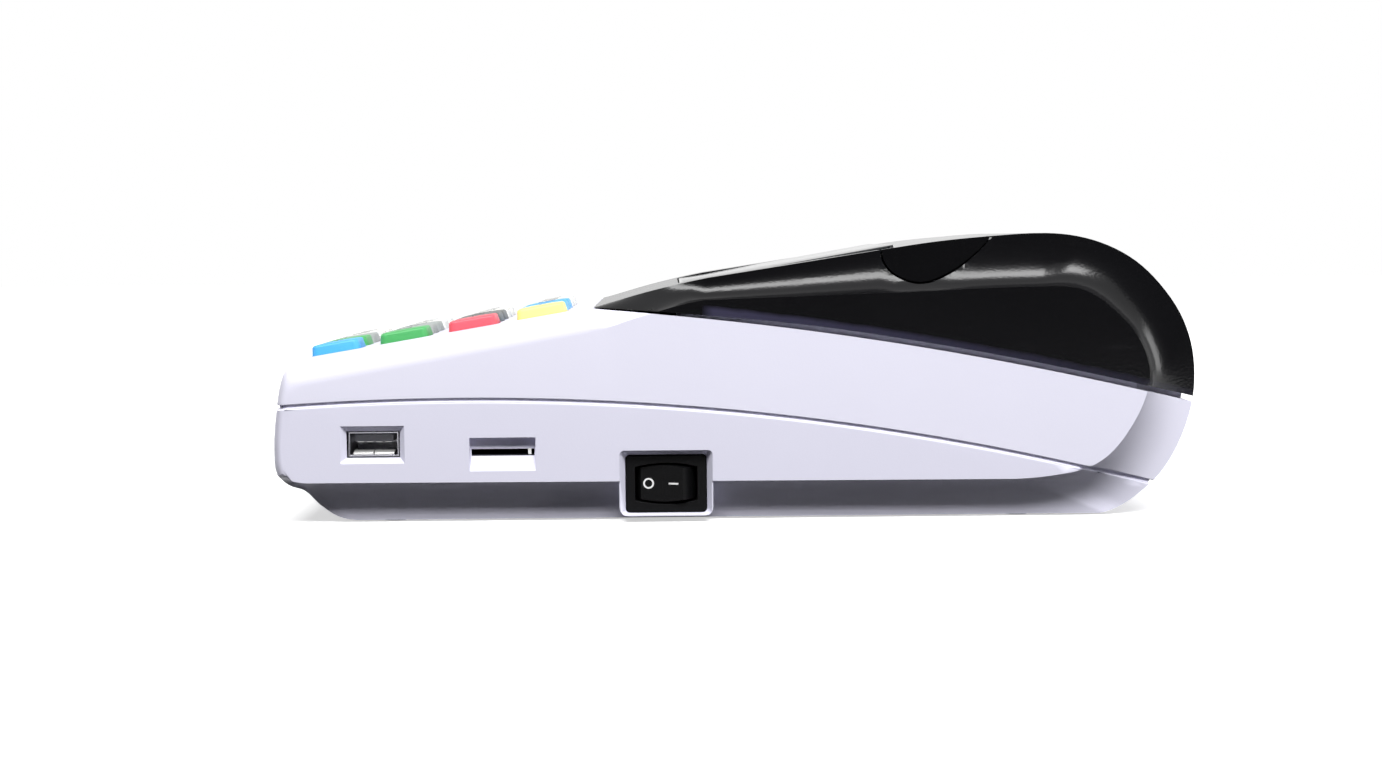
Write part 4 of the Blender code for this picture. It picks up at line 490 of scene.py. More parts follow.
def make_lower_case():
    """The tray below the parting line, with its tongue, switch pocket, windows and hatch."""
    low = np.array(((FRONT_END, FLOOR), (REAR_END, FLOOR)))
    high = curve(parting_height, FRONT_END, REAR_END, -SEAM / 2.0)
    piece = shell_band("lower_case_skin", 0.0, WALL, low, high)
    join(piece, lip("tongue", parting_height, FRONT_END))
    join(piece, shell_band("seam_step", SEAM_STEP, SEAM_STEP + SEAM_STEP_WALL,
                           curve(parting_height, FRONT_END, REAR_END, -SEAM),
                           curve(parting_height, FRONT_END, REAR_END, SEAM * 0.4)))
    skin = -WIDTH / 2.0
    face = skin + POCKET_SINK
    centre = np.array((SWITCH_MIDDLE.x, SWITCH_MIDDLE.z + POCKET_LIFT))
    outer = rounded(POCKET_HALF_LENGTH, POCKET_HALF_HEIGHT, POCKET_CORNER) + centre
    join(piece, slab("pocket", outer, face, face + BASE_COVE + WALL))
    rings = []
    for y, half_x, half_z, lift in ((skin - WALL, MOUTH_HALF_LENGTH, MOUTH_HALF_HEIGHT, MOUTH_LIFT),
                                    (skin, MOUTH_HALF_LENGTH, MOUTH_HALF_HEIGHT, MOUTH_LIFT),
                                    (SWITCH_BOX[0].y, SEAT_HALF_LENGTH, SEAT_HALF_HEIGHT, 0.0),
                                    (skin + POCKET_SEAT, SEAT_HALF_LENGTH, SEAT_HALF_HEIGHT, 0.0)):
        flat = rounded(half_x, half_z, MOUTH_CORNER) + (SWITCH_MIDDLE.x, SWITCH_MIDDLE.z + lift)
        rings.append(np.stack((flat[:, 0], np.full(len(flat), y), flat[:, 1]), axis=1))
    cut(piece, ring_skin("pocket_room", np.stack(rings)))
    left, right = SWITCH_MIDDLE.x - BODY_HALF_LENGTH, SWITCH_MIDDLE.x + BODY_HALF_LENGTH
    bottom, top = SWITCH_MIDDLE.z - BODY_HALF_HEIGHT, SWITCH_MIDDLE.z + BODY_HALF_HEIGHT
    cut(piece, block("body_room", (left, -WIDTH, bottom), (right, face + BASE_COVE + WALL * 2.0, top)))
    usb = np.array(((USB_BOX[0].x + USB_BOX[1].x) / 2.0, (USB_BOX[0].z + USB_BOX[1].z) / 2.0))
    inside = skin + WALL + LIP_WALL * 2.0
    cut(piece, tapered("usb_window", usb, USB_HALF_WINDOW, USB_HALF_HEIGHT, 0.0, inside, skin - WALL))
    cut(piece, tapered("usb_edge", usb, USB_HALF_WINDOW - USB_CHAMFER / 2.0, USB_HALF_HEIGHT - USB_CHAMFER / 2.0,
                       USB_CHAMFER * 2.0, skin + USB_CHAMFER * 2.0, skin - GAP))
    card_x = (CARD_BOX[0].x + CARD_BOX[1].x) / 2.0
    slot_low = CARD_BOX[0].z
    profile = np.array(((skin - WALL, CARD_TOP), (skin + CARD_RECESS, CARD_TOP), (skin + CARD_RECESS, slot_low),
                        (skin, CARD_BOTTOM), (skin - WALL, CARD_BOTTOM)))
    rings = [np.stack((np.full(5, card_x + side * CARD_HALF_RECESS), profile[:, 0], profile[:, 1]), axis=-1)
             for side in (-1, 1)]
    cut(piece, ring_skin("card_ramp", np.stack(rings)))
    cut(piece, block("card_slot", (card_x - CARD_HALF_SLOT, skin - WALL, slot_low),
                     (card_x + CARD_HALF_SLOT, inside, slot_low + CARD_SLOT_HEIGHT)))
    jack = ((JACK_BOX[0].x + JACK_BOX[1].x) / 2.0, (JACK_BOX[0].z + JACK_BOX[1].z) / 2.0)
    cut(piece, slab("jack_hole", circle(jack, JACK_HOLE, 40), -inside, WIDTH))
    cut_underside(piece)
    return piece


def upright(name, place, radius, low, high, count=40):
    """A round cutter or post along Z."""
    flat = circle(place, radius, count)
    ring = np.stack((flat[:, 0], flat[:, 1], np.zeros(count)), axis=-1)
    return ring_skin(name, np.stack((ring + (0.0, 0.0, low), ring + (0.0, 0.0, high))))


def middle(name):
    """Middle of a node's box."""
    low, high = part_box(name)
    return (low + high) / 2.0


CORNER_NAMES = ("front_near", "front_far", "rear_near", "rear_far")
SCREW_WELL = 0.0023


def cut_underside(piece):
    """Battery hatch, screw wells and foot recesses, each from the solid that sits in it."""
    low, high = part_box("battery_cover")
    cut(piece, block("hatch", (low.x - GAP, low.y - GAP, FLOOR), (high.x + GAP, high.y + GAP, high.z + GAP)))
    for corner in CORNER_NAMES:
        screw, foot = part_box("case_screw_" + corner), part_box("foot_" + corner)
        place = middle("case_screw_" + corner)
        cut(piece, upright("screw_well", (place.x, place.y), (screw[1].x - screw[0].x) / 2.0 + GAP, FLOOR,
                           screw[0].z + SCREW_WELL))
        place = middle("foot_" + corner)
        cut(piece, upright("foot_recess", (place.x, place.y), (foot[1].x - foot[0].x) / 2.0 + GAP, FLOOR,
                           foot[1].z + GAP))


lower_case = soft_seam(make_lower_case(), lambda x: parting_height(x) - SEAM / 2.0, SEAM_ROUND)
dress(round_edges(lower_case, EDGE_ROUND), white_lower)
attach(lower_case, "case")
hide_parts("lower_case")

# Upper case: the white deck with its key holes and side walls up to the cover's ledge. It has the same skin and
# the same hollowed edges as the lower case, and its tongue stands behind the cover's foot.

KEY_ROWS, KEY_COLUMNS = 4, 5
KEY_SLOT = 0.0003
KEY_ROUND = 0.0018
DECK_SLOPE = math.atan2((0.748 - 0.578) * HEIGHT, (0.4705 - 0.160) * LENGTH)
HOLE_DEPTH = 0.0060
MOON_SHARES = np.array(((0.000, 1.000), (0.020, 0.700), (0.110, 0.330), (0.360, 0.000), (0.620, 0.180),
                        (0.870, 0.640), (1.000, 1.000)))
MOON_FRONT_SHARE = 0.156
MOON_LENGTH, MOON_DEPTH = 0.0292, 0.0100
MOON_SLOPE_SHARE = 0.105
MOON_STEPS = 8
EAR_GAP, EAR_REACH = 0.0006, 0.0004


def crown_curve():
    """Crown points of the lid stretch, from the rear to the nose."""
    lid = OUTLINE_SHARES[12:21, 0:2] * (LENGTH, HEIGHT)
    return lid[np.argsort(lid[:, 0])]


def moon(margin):
    """Outline of the half-moon grip, a smooth bowl through a few listed shares, moved inwards by a margin and
    carried on above the lid."""
    slot_top = np.interp(MOON_FRONT_SHARE * LENGTH, *crown_curve().T)
    front = MOON_FRONT_SHARE * LENGTH
    x = front + MOON_SHARES[:, 0] * MOON_LENGTH
    z = slot_top + MOON_SLOPE_SHARE * MOON_SHARES[:, 0] * MOON_LENGTH - MOON_DEPTH * (1.0 - MOON_SHARES[:, 1])
    deep = np.stack((x, z), axis=1)
    run = np.diff(deep, axis=0)
    length = np.linalg.norm(run, axis=1, keepdims=True)
    unit = run / length
    lean = np.concatenate((unit[:1], unit[1:] + unit[:-1], unit[-1:]))
    lean = lean / np.linalg.norm(lean, axis=1, keepdims=True)
    rows = [cubic(deep[k], deep[k + 1], lean[k], lean[k + 1], length[k], MOON_STEPS) for k in range(len(run))]
    path = np.concatenate(rows + [deep[-1:]])
    centre = np.array((front + MOON_LENGTH / 2.0, slot_top))
    path = centre + (path - centre) * (1.0 - 2.0 * margin / MOON_LENGTH, 1.0 - margin / MOON_DEPTH)
    return np.concatenate((path, ((path[-1, 0], ROOF), (path[0, 0], ROOF))))


def on_plane(points, origin, slope):
    """Points of a local frame whose X runs up a slope, as places in the frame of the case."""
    turn = np.array(Matrix.Rotation(-slope, 3, "Y"))
    return np.asarray(points) @ turn.T + origin


def plate(name, outline, low, high, origin=(0.0, 0.0, 0.0), slope=0.0):
    """A flat plate with an XY outline between two heights of a sloping plane."""
    ring = np.concatenate((outline, np.zeros((len(outline), 1))), axis=1)
    rings = np.stack((ring + (0.0, 0.0, low), ring + (0.0, 0.0, high)))
    return ring_skin(name, on_plane(rings, np.array(origin), slope))


def key_seat(row, column):
    """Where a key's middle meets the deck, and half its length and width there, from its solid."""
    corners = np.array([vertex.co[:] for vertex in nodes[f"key_r{row + 1}_c{column + 1}"].data.vertices])
    turn = np.array(Matrix.Rotation(-DECK_SLOPE, 3, "Y"))
    local = corners @ turn
    deck = np.array((-0.4705 * LENGTH, 0.0, 0.578 * HEIGHT)) @ turn
    above = local[local[:, 2] > deck[2] - 0.0001]
    low, high = above.min(axis=0), above.max(axis=0)
    middle_local = np.array(((low[0] + high[0]) / 2.0, (low[1] + high[1]) / 2.0, deck[2]))
    return middle_local @ turn.T, (high[0] - low[0]) / 2.0, (high[1] - low[1]) / 2.0, high[2] - deck[2]


def make_upper_case():
    """Shell between the two seams, the tongue behind the cover, the key holes and the grip reliefs."""
    roof = np.array(((FRONT_END, ROOF), (NOSE, ROOF)))
    top = np.concatenate((roof, curve(ledge_height, NOSE + GAP / 10.0, REAR_END)))
    low = curve(parting_height, FRONT_END, REAR_END, SEAM / 2.0)
    piece = shell_band("upper_case_skin", 0.0, WALL, low, top)
    tongue = lip("cover_tongue", ledge_height, NOSE + TONGUE_START)
    cut(tongue, slab("grip_relief", moon(-EAR_GAP), -WIDTH, WIDTH))
    join(piece, tongue)
    for row in range(KEY_ROWS):
        for column in range(KEY_COLUMNS):
            place, half_x, half_y, rise = key_seat(row, column)
            outline = rounded(half_x + KEY_SLOT, half_y + KEY_SLOT, KEY_ROUND + KEY_SLOT)
            cut(piece, plate("key_hole", outline, -HOLE_DEPTH, HOLE_DEPTH, place, DECK_SLOPE))
    return piece


upper_case = soft_seam(make_upper_case(), lambda x: parting_height(x) + SEAM / 2.0, SEAM_ROUND / 2.0)
dress(round_edges(upper_case, EDGE_ROUND), white_upper)
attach(upper_case, "case")
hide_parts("upper_case")

# Keys: soft silicone caps with a small rounded shoulder and a faint crown, one per key, in their own colours.
# Each has a shallow moulded mark: digits in the three columns on the far side, plain signs in the other two.

KEY_COLOURS = {"blue": (0.075, 0.420, 0.860), "green": (0.070, 0.390, 0.115), "red": (0.840, 0.105, 0.140),
               "yellow": (1.0, 0.930, 0.270), "grey": (0.340, 0.370, 0.360), "dark": (0.130, 0.135, 0.130),
               "white": (0.760, 0.770, 0.740)}
KEY_LAYOUT = (("blue", "green", "grey", "white", "white"), ("green", "grey", "grey", "white", "white"),
              ("red", "dark", "dark", "white", "white"), ("yellow", "blue", "blue", "white", "white"))
CAP_SHOULDER, CAP_CROWN, CAP_DRAFT = 0.00075, 0.00022, 0.00030
CAP_DEPTH = 0.0030
CAP_CORNER_STEPS, CAP_SHOULDER_STEPS, CAP_CROWN_STEPS = 7, 6, 5


def silicone(name, colour, see_through):
    """Satin silicone that lets a little light through its body."""
    material = worn_material(name, colour, 0.46, mottle=0.05, mottle_size=160.0, grain=5200.0, depth=0.10,
                             smear=0.16, scuff=0.10)
    shader = material.node_tree.nodes["Principled BSDF"]
    shader.inputs["Subsurface Weight"].default_value = see_through
    shader.inputs["Subsurface Radius"].default_value = (1.0, 0.9, 0.8)
    shader.inputs["Subsurface Scale"].default_value = 0.0009
    return material


def make_key(name, place, half_x, half_y, rise):
    """A cap as rings of a rounded rectangle: straight drafted sides, a quarter-round shoulder, and a crown that
    rises with the square of the way in."""
    levels = [(-CAP_DEPTH, 0.0), (0.0, 0.0)]
    wall_top = rise - CAP_SHOULDER - CAP_CROWN
    for turn in np.linspace(0.0, math.pi / 2.0, CAP_SHOULDER_STEPS + 1):
        levels.append((wall_top + CAP_SHOULDER * math.sin(turn),
                       CAP_DRAFT + CAP_SHOULDER * (1.0 - math.cos(turn))))
    edge = CAP_DRAFT + CAP_SHOULDER
    way_in = min(half_x, half_y) - edge
    for share in np.linspace(0.0, 0.94, CAP_CROWN_STEPS + 1)[1:]:
        levels.append((rise - CAP_CROWN * (1.0 - share) ** 2, edge + share * way_in))
    rings = []
    for height, inset in levels:
        corner = max(KEY_ROUND - inset * 0.5, 0.0001)
        long_x, long_y = half_x - inset, half_y - inset
        corner = min(corner, long_x * 0.98, long_y * 0.98)
        flat = rounded(long_x, long_y, corner, CAP_CORNER_STEPS)
        rings.append(np.concatenate((flat, np.full((len(flat), 1), height)), axis=1))
    piece = ring_skin(name, on_plane(np.stack(rings), place, DECK_SLOPE))
    piece.data.shade_smooth()
    piece.data.set_sharp_from_angle(angle=SHARP_ANGLE)
    return piece


silicones = {tone: silicone("silicone_" + tone, colour, 0.35 if tone == "white" else 0.15)
             for tone, colour in KEY_COLOURS.items()}
for row in range(KEY_ROWS):
    for column in range(KEY_COLUMNS):
        key_name = f"key_r{row + 1}_c{column + 1}"
        tone = KEY_LAYOUT[row][column]
        cap = dress(make_key(key_name + "_cap", *key_seat(row, column)), silicones[tone])
        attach(cap, key_name)
        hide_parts(key_name)

MARK_LIFT, MARK_STROKE, MARK_TALL, MARK_WIDE = 0.00003, 0.00045, 0.0042, 0.0024
SEGMENT_PATHS = {"a": ((-1, 1), (1, 1)), "b": ((1, 1), (1, 0)), "c": ((1, 0), (1, -1)), "d": ((1, -1), (-1, -1)),
                 "e": ((-1, -1), (-1, 0)), "f": ((-1, 0), (-1, 1)), "g": ((-1, 0), (1, 0)),
                 "v": ((0, 0.6), (0, -0.6)), "h": ((-0.8, 0), (0.8, 0)), "s": ((-0.7, -0.7), (0.7, 0.7)),
                 "r": ((-0.7, 0.7), (0.7, -0.7)), "p": ((-0.15, -1), (0.15, -1))}
MARK_STROKES = (("vh", "h", "p", "abcdef", "abcdef"), ("sr", "hv", "abgcd", "abged", "bc"),
                ("h", "sr", "afgecd", "afgcd", "fgbc"), ("vh", "s", "abcdfg", "abcdefg", "abc"))


def make_mark(name, strokes, place, rise):
    """Straight strokes of a mark as thin bars that lie just on the crown of a cap."""
    corners, faces = [], []
    for stroke in strokes:
        (u0, v0), (u1, v1) = SEGMENT_PATHS[stroke]
        start = np.array((v0 * MARK_TALL / 2.0, -u0 * MARK_WIDE / 2.0))
        end = np.array((v1 * MARK_TALL / 2.0, -u1 * MARK_WIDE / 2.0))
        run = (end - start) / max(np.linalg.norm(end - start), MARK_STROKE / 10.0)
        side = np.array((-run[1], run[0])) * MARK_STROKE / 2.0
        start, end = start - run * MARK_STROKE / 2.0, end + run * MARK_STROKE / 2.0
        first = len(corners)
        for height in (rise - CAP_CROWN, rise + MARK_LIFT):
            corners += [(*(start + side), height), (*(end + side), height), (*(end - side), height),
                        (*(start - side), height)]
        faces += [[first + k for k in quad] for quad in ((0, 1, 2, 3), (4, 5, 6, 7), (0, 1, 5, 4), (1, 2, 6, 5),
                                                         (2, 3, 7, 6), (3, 0, 4, 7))]
    return place_mesh(name, on_plane(corners, place, DECK_SLOPE), faces)


mark_ink = worn_material("key_mark_ink", (0.030, 0.030, 0.035), 0.50, mottle=0.20, mottle_size=300.0)
for row in range(KEY_ROWS):
    for column in range(KEY_COLUMNS):
        place, _, _, rise = key_seat(row, column)
        key_name = f"key_r{row + 1}_c{column + 1}"
        mark = dress(make_mark(key_name + "_mark", MARK_STROKES[row][column], place, rise), mark_ink)
        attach(mark, key_name)

# Smoked cover: glossy dark shell over the display and the printer, with the lens rebate, the door opening and
# the door's knuckles. Low on its side a pale purple band is painted light: the lit white tongue seen through it.

LENS_START, LENS_LENGTH = 0.0085, 0.0580
LENS_WIDTH = WIDTH - 2.0 * 0.0165
LENS_THICK, LENS_PROUD, LENS_LEDGE, LENS_ROUND = 0.0015, 0.0005, 0.0030, 0.0030
LID_LOW = np.array((-0.095 * LENGTH, 0.0, 0.806 * HEIGHT))
LID_HIGH = np.array((0.156 * LENGTH, 0.0, 0.945 * HEIGHT))
LID_SLOPE = math.atan2(LID_HIGH[2] - LID_LOW[2], LID_HIGH[0] - LID_LOW[0])
DOOR_HALF = WIDTH / 2.0 - 0.0145
DOOR_SIDE_GAP, DOOR_WALL = 0.0005, 0.0024
BARREL_RADIUS, BARREL_CLEAR, PIN_RADIUS = 0.0028, 0.0043, 0.0011
KNUCKLE_HALF = DOOR_HALF - 0.0030
BARREL_HALF = KNUCKLE_HALF - 0.0060
PIN_WEB = 0.0020
ROUND_COUNT = 48
HINGE = (middle("door_hinge_pin").x, middle("door_hinge_pin").z)
PLATEN = (middle("platen_roller").x, middle("platen_roller").z)
MOON_FRONT = MOON_FRONT_SHARE * LENGTH
# Painted light: the band below is painted into the cover's colour and stands in for the lit white tongue seen
# through the plastic.
BAND_START, BAND_RUN_IN, BAND_RISE, BAND_EDGE, BAND_RAGGED = -0.0090, 0.0030, 0.0034, 0.0012, 0.0008
BAND_FULL, BAND_FADE, PAINTED_SEE_THROUGH_COLOUR = 0.90, 0.16, (0.046, 0.043, 0.080, 1.0)


def lens_plate(name, half_length, half_width, corner, low, high):
    """A rounded plate parallel to the lid, centred on the display window."""
    outline = rounded(half_length, half_width, corner, 8) + (LENS_START + LENS_LENGTH / 2.0, 0.0)
    return plate(name, outline, low, high, LID_LOW, LID_SLOPE)


def knuckle_outline():
    """A lug from the cover's rear wall round the hinge pin."""
    x, z = HINGE
    rear, drop = x + BARREL_CLEAR + WALL / 2.0, BARREL_CLEAR + WALL
    return ((x - BARREL_RADIUS, z - BARREL_RADIUS), (x + BARREL_RADIUS, z - drop), (rear, z - drop),
            (rear, z - BARREL_RADIUS), (x + BARREL_RADIUS, z + PIN_RADIUS), (x, z + BARREL_RADIUS - GAP),
            (x - BARREL_RADIUS, z + PIN_RADIUS))


def make_cover():
    """The shell above the cover's foot with its windows, the grip openings, the door opening and the lugs."""
    low = curve(cover_foot, NOSE + GAP, REAR_END)
    piece = shell_band("smoked_cover_skin", 0.0, WALL, low, np.array(((NOSE + GAP, ROOF), (REAR_END, ROOF))))
    half_x, half_y = LENS_LENGTH / 2.0, LENS_WIDTH / 2.0
    cut(piece, lens_plate("rebate", half_x + GAP, half_y + GAP, LENS_ROUND, LENS_PROUD - LENS_THICK - GAP, WALL))
    cut(piece, lens_plate("hole", half_x - LENS_LEDGE, half_y - LENS_LEDGE, LENS_ROUND, -2.0 * WALL, WALL))
    cut(piece, slab("grip", moon(0.0), -WIDTH, WIDTH))
    bar_low, bar_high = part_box("tear_bar")
    cut(piece, block("tear_seat", (bar_low.x - GAP, bar_low.y - GAP, bar_low.z - GAP),
                     (MOON_FRONT + EAR_GAP, bar_high.y + GAP, ROOF)))
    hole_half = DOOR_HALF + DOOR_SIDE_GAP
    cut(piece, block("door_hole", (MOON_FRONT + MOON_LENGTH / 2.0, -hole_half, HINGE[1]),
                     (HINGE[0] + BARREL_RADIUS / 2.0, hole_half, ROOF)))
    cut(piece, slab("barrel_room", circle(HINGE, BARREL_CLEAR, ROUND_COUNT), -hole_half, hole_half))
    for side in (-1, 1):
        near, far = sorted((side * (BARREL_HALF + GAP), side * KNUCKLE_HALF))
        join(piece, slab("lug", knuckle_outline(), near, far))
    pin_end = KNUCKLE_HALF - PIN_WEB
    return cut(piece, slab("pin_hole", circle(HINGE, PIN_RADIUS + GAP, ROUND_COUNT), -pin_end, pin_end))


def smoked_plastic(name, colour, roughness, depth, specular, painted_see_through):
    """Dark gloss with a fine orange-peel bump. With painted_see_through set, a band above the cover's foot is
    painted
    light: it takes the colour of the lit pale tongue seen through the plastic, and the height above the foot
    curve, from Object coordinates, sets where it shows."""
    material = worn_material(name, colour, roughness, mottle=0.10, grain=1500.0, depth=depth, smear=0.06,
                             scuff=0.05, specular=specular)
    if not painted_see_through:
        return material
    tree, colour, shown = colour_ends(material)
    place = object_place(tree)
    part = add_node(tree, "ShaderNodeSeparateXYZ", {0: place}).outputs
    run = maths(tree, "MULTIPLY", maths(tree, "SUBTRACT", part["X"], NOSE), 1.0 / (LENGTH / 2.0 - NOSE))
    fall = maths(tree, "MULTIPLY_ADD", run, LEDGE_SHARES[2], LEDGE_SHARES[1])
    foot = maths(tree, "MULTIPLY_ADD", maths(tree, "MULTIPLY", run, fall), -HEIGHT, LEDGE_SHARES[0] * HEIGHT)
    above = maths(tree, "SUBTRACT", part["Z"], foot)
    edge = maths(tree, "MULTIPLY_ADD", noise(tree, place, scale=180.0), BAND_RAGGED, above)
    band = maths(tree, "MULTIPLY_ADD", edge, -1.0 / BAND_EDGE, BAND_RISE / BAND_EDGE + 0.5, clamp=True)
    begin = maths(tree, "MULTIPLY_ADD", part["X"], 1.0 / BAND_RUN_IN, -BAND_START / BAND_RUN_IN, clamp=True)
    fade = maths(tree, "MULTIPLY_ADD", part["X"], -1.0 / BAND_FADE, BAND_FULL, clamp=True)
    # Painted light: the share of the painted see-through band over the cover's own colour.
    painted_see_through_share = maths(tree, "MULTIPLY", maths(tree, "MULTIPLY", band, begin), fade)
    tree.links.new(colour_mix(tree, painted_see_through_share, colour, PAINTED_SEE_THROUGH_COLOUR), shown)
    return material


SMOKED = (0.0048, 0.0048, 0.0056)
# Only the cover's material carries the painted see-through band.
smoked = smoked_plastic("smoked_gloss_plastic", SMOKED, 0.18, 0.30, 0.28, True)
door_gloss = smoked_plastic("door_gloss_plastic", (0.0045, 0.0045, 0.0052), 0.12, 0.10, 0.30, False)
smoked_cover = dress(round_edges(make_cover(), EDGE_ROUND), smoked)
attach(smoked_cover, "case")
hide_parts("smoked_cover")

# Display: a smoked window that stands a little proud of the lid, with a polished bevel, over the module's glass.

LENS_BEVEL = 0.0004


def make_lens():
    """Rings of a rounded rectangle: straight sides, then a quarter-round bevel onto the flat face."""
    turn = np.linspace(0.0, math.pi / 2.0, 6)
    top = LENS_PROUD - LENS_BEVEL
    levels = [(LENS_PROUD - LENS_THICK, 0.0)]
    levels += [(top + LENS_BEVEL * math.sin(t), LENS_BEVEL * (1.0 - math.cos(t))) for t in turn]
    rings = []
    for height, inset in levels:
        flat = rounded(LENS_LENGTH / 2.0 - inset, LENS_WIDTH / 2.0 - inset, LENS_ROUND - inset, 8)
        flat = flat + (LENS_START + LENS_LENGTH / 2.0, 0.0)
        rings.append(np.concatenate((flat, np.full((len(flat), 1), height)), axis=1))
    piece = ring_skin("display_window", on_plane(np.stack(rings), LID_LOW, LID_SLOPE))
    piece.data.shade_smooth()
    piece.data.set_sharp_from_angle(angle=SHARP_ANGLE)
    return piece


lens_gloss = worn_material("display_window_gloss", (0.006, 0.008, 0.010), 0.07, mottle=0.10, grain=900.0,
                           depth=0.03, smear=0.05, scuff=0.04, specular=0.20)
display_window = dress(make_lens(), lens_gloss)
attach(display_window, "case")
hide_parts("display_lens")

# Paper door: a curved plate flush with the lid, with two half-moon grips that reach over the sides, arms that
# carry the platen, and a barrel on the rear hinge pin.

ARM_HALF = 0.0030
ARM_THICK = 0.0022
SHAFT_RADIUS = 0.0015


def crown_at(x):
    """Height of the lid's crown line over a place on X."""
    loop = smooth_loop(OUTLINE_SHARES[:, 0:2] * (LENGTH, HEIGHT), STEPS_PER_STRETCH)
    lid = loop[loop[:, 1] > HEIGHT * 0.75]
    lid = lid[np.argsort(lid[:, 0])]
    return float(np.interp(x, lid[:, 0], lid[:, 1]))


def make_door():
    """The plate and ears from the case's own surface, with the barrel, its clearances, and the two arms."""
    half_ear = WIDTH / 2.0 - LID_COVE - EAR_REACH
    piece = envelope("paper_door_skin")
    cut(piece, envelope("inside", DOOR_WALL))
    plan = slab("plan", moon(EAR_GAP), -half_ear, half_ear)
    join(plan, block("plan_rear", (MOON_FRONT + MOON_LENGTH / 2.0, -DOOR_HALF, HINGE[1] + BARREL_RADIUS / 2.0),
                     (HINGE[0], DOOR_HALF, ROOF + OVERRUN)))
    keep(piece, plan)
    for side in (-1, 1):
        near, far = sorted((side * (DOOR_HALF - DOOR_WALL / 2.0), side * (half_ear - EAR_REACH)))
        ear = slab("ear", moon(EAR_GAP + EAR_REACH / 2.0), near, far)
        join(piece, keep(ear, envelope("ear_skin", EAR_REACH)))
    join(piece, slab("barrel", circle(HINGE, BARREL_RADIUS, ROUND_COUNT), -BARREL_HALF, BARREL_HALF))
    for side in (-1, 1):
        near, far = sorted((side * BARREL_HALF, side * WIDTH))
        cut(piece, block("knuckle_room", (HINGE[0] - BARREL_CLEAR, near, FLOOR), (HINGE[0] + WALL, far, ROOF)))
    arm_high = crown_at(PLATEN[0] - ARM_HALF) - DOOR_WALL / 2.0
    arm_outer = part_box("platen_gear")[0].y - GAP
    for side in (-1, 1):
        near, far = sorted((side * (arm_outer - ARM_THICK), side * arm_outer))
        join(piece, block("arm", (PLATEN[0] - ARM_HALF, near, PLATEN[1] - ARM_HALF),
                          (PLATEN[0] + ARM_HALF, far, arm_high)))
    cut(piece, slab("shaft_hole", circle(PLATEN, SHAFT_RADIUS + GAP, ROUND_COUNT), -arm_outer - GAP,
                    arm_outer + GAP))
    return cut(piece, slab("pin_hole", circle(HINGE, PIN_RADIUS + GAP, ROUND_COUNT), -WIDTH, WIDTH))


paper_door = dress(round_edges(make_door(), EDGE_ROUND), door_gloss)
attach(paper_door, "paper_door")
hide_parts("paper_door")

# Rocker switch: a satin black bezel with a bowed opening, and a rocker whose two faces meet in a shallow valley.
# Its ends are arcs round the pivot, its O end is pressed, and the two marks are white inlays.

ROCKER_PIVOT = Vector(next(joint["pos_m"] for joint in frame["joints"] if joint["name"] == "rocker_tilt"))
ROCKER_SWEEP, ROCKER_VALLEY, ROCKER_CORNER = 0.0078, 0.0046, math.radians(44.0)
ROCKER_TILT = math.radians(12.0)
ROCKER_HUB = 0.0036
BARREL_TALL, BARREL_FALL = 0.0051, 0.0010
BEZEL_LONG, BEZEL_TALL, BEZEL_THICK, BEZEL_CORNER, BEZEL_EDGE = 0.0105, 0.0075, 0.0016, 0.0008, 0.0004
HOUSING_LONG, HOUSING_TALL = 0.0096, 0.0065
CAVITY_BACK = 0.0100
RING_RADIUS, RING_BORE, BAR_LONG, BAR_TALL = 0.00140, 0.00096, 0.0027, 0.00046
RING_PLACE, BAR_PLACE = -0.0036, 0.0030
INLAY_LIFT = 0.00003


def barrel_outline(half, gap, steps=14):
    """Front view of the rocker: straight ends and bowed edges that fall with the square of the way out."""
    share = np.linspace(-1.0, 1.0, steps + 1)
    edge = BARREL_TALL + gap - BARREL_FALL * share ** 2
    x = share * (half + gap)
    return np.concatenate((np.stack((x, -edge), axis=1), np.stack((x[::-1], edge[::-1]), axis=1)))


def rocker_section():
    """Section across the pivot: two flat faces, an arc at each end, and the hub below. Depth counts outwards."""
    corner = np.array((math.cos(ROCKER_CORNER), math.sin(ROCKER_CORNER))) * ROCKER_SWEEP
    arc = np.linspace(ROCKER_CORNER, math.radians(-8.0), 10)
    right = ROCKER_SWEEP * np.stack((np.cos(arc), np.sin(arc)), axis=1)
    hub = np.linspace(math.radians(-30.0), math.radians(-150.0), 9)
    low = ROCKER_HUB * np.stack((np.cos(hub), np.sin(hub)), axis=1)
    left = right[::-1] * (-1.0, 1.0)
    return np.concatenate((right, low, left, ((0.0, ROCKER_VALLEY),)))


def rocker_frame(points):
    """Points (along, outwards, up) round the pivot, turned by the tilt, as places in the case's frame."""
    along, out, up = np.asarray(points, float).T
    turned = np.stack((along * math.cos(ROCKER_TILT) - out * math.sin(ROCKER_TILT),
                       -(along * math.sin(ROCKER_TILT) + out * math.cos(ROCKER_TILT)), up), axis=1)
    return turned + np.array(ROCKER_PIVOT)


def make_rocker():
    """The section carried upwards, kept inside a solid spun round the pivot, whose half height falls with the
    square of the distance from it."""
    section = rocker_section()
    rings = [rocker_frame(np.concatenate((section, np.full((len(section), 1), level)), axis=1))
             for level in (-BARREL_TALL, BARREL_TALL)]
    reach = np.linspace(ROCKER_SWEEP / 8.0, ROCKER_SWEEP + GAP, 9)
    reach = np.concatenate((reach, reach[::-1]))
    half = BARREL_TALL - BARREL_FALL * (reach / ROCKER_SWEEP) ** 2
    height = ROCKER_PIVOT.z + half * np.repeat((-1.0, 1.0), 9)
    turn = np.arange(72) * math.pi / 36.0
    x = ROCKER_PIVOT.x + np.outer(reach, np.cos(turn))
    y = ROCKER_PIVOT.y + np.outer(reach, np.sin(turn))
    bowed = np.stack((x, y, np.repeat(height[:, None], len(turn), axis=1)), axis=-1)
    return keep(ring_skin("rocker_skin", np.stack(rings)), ring_skin("bow", bowed))


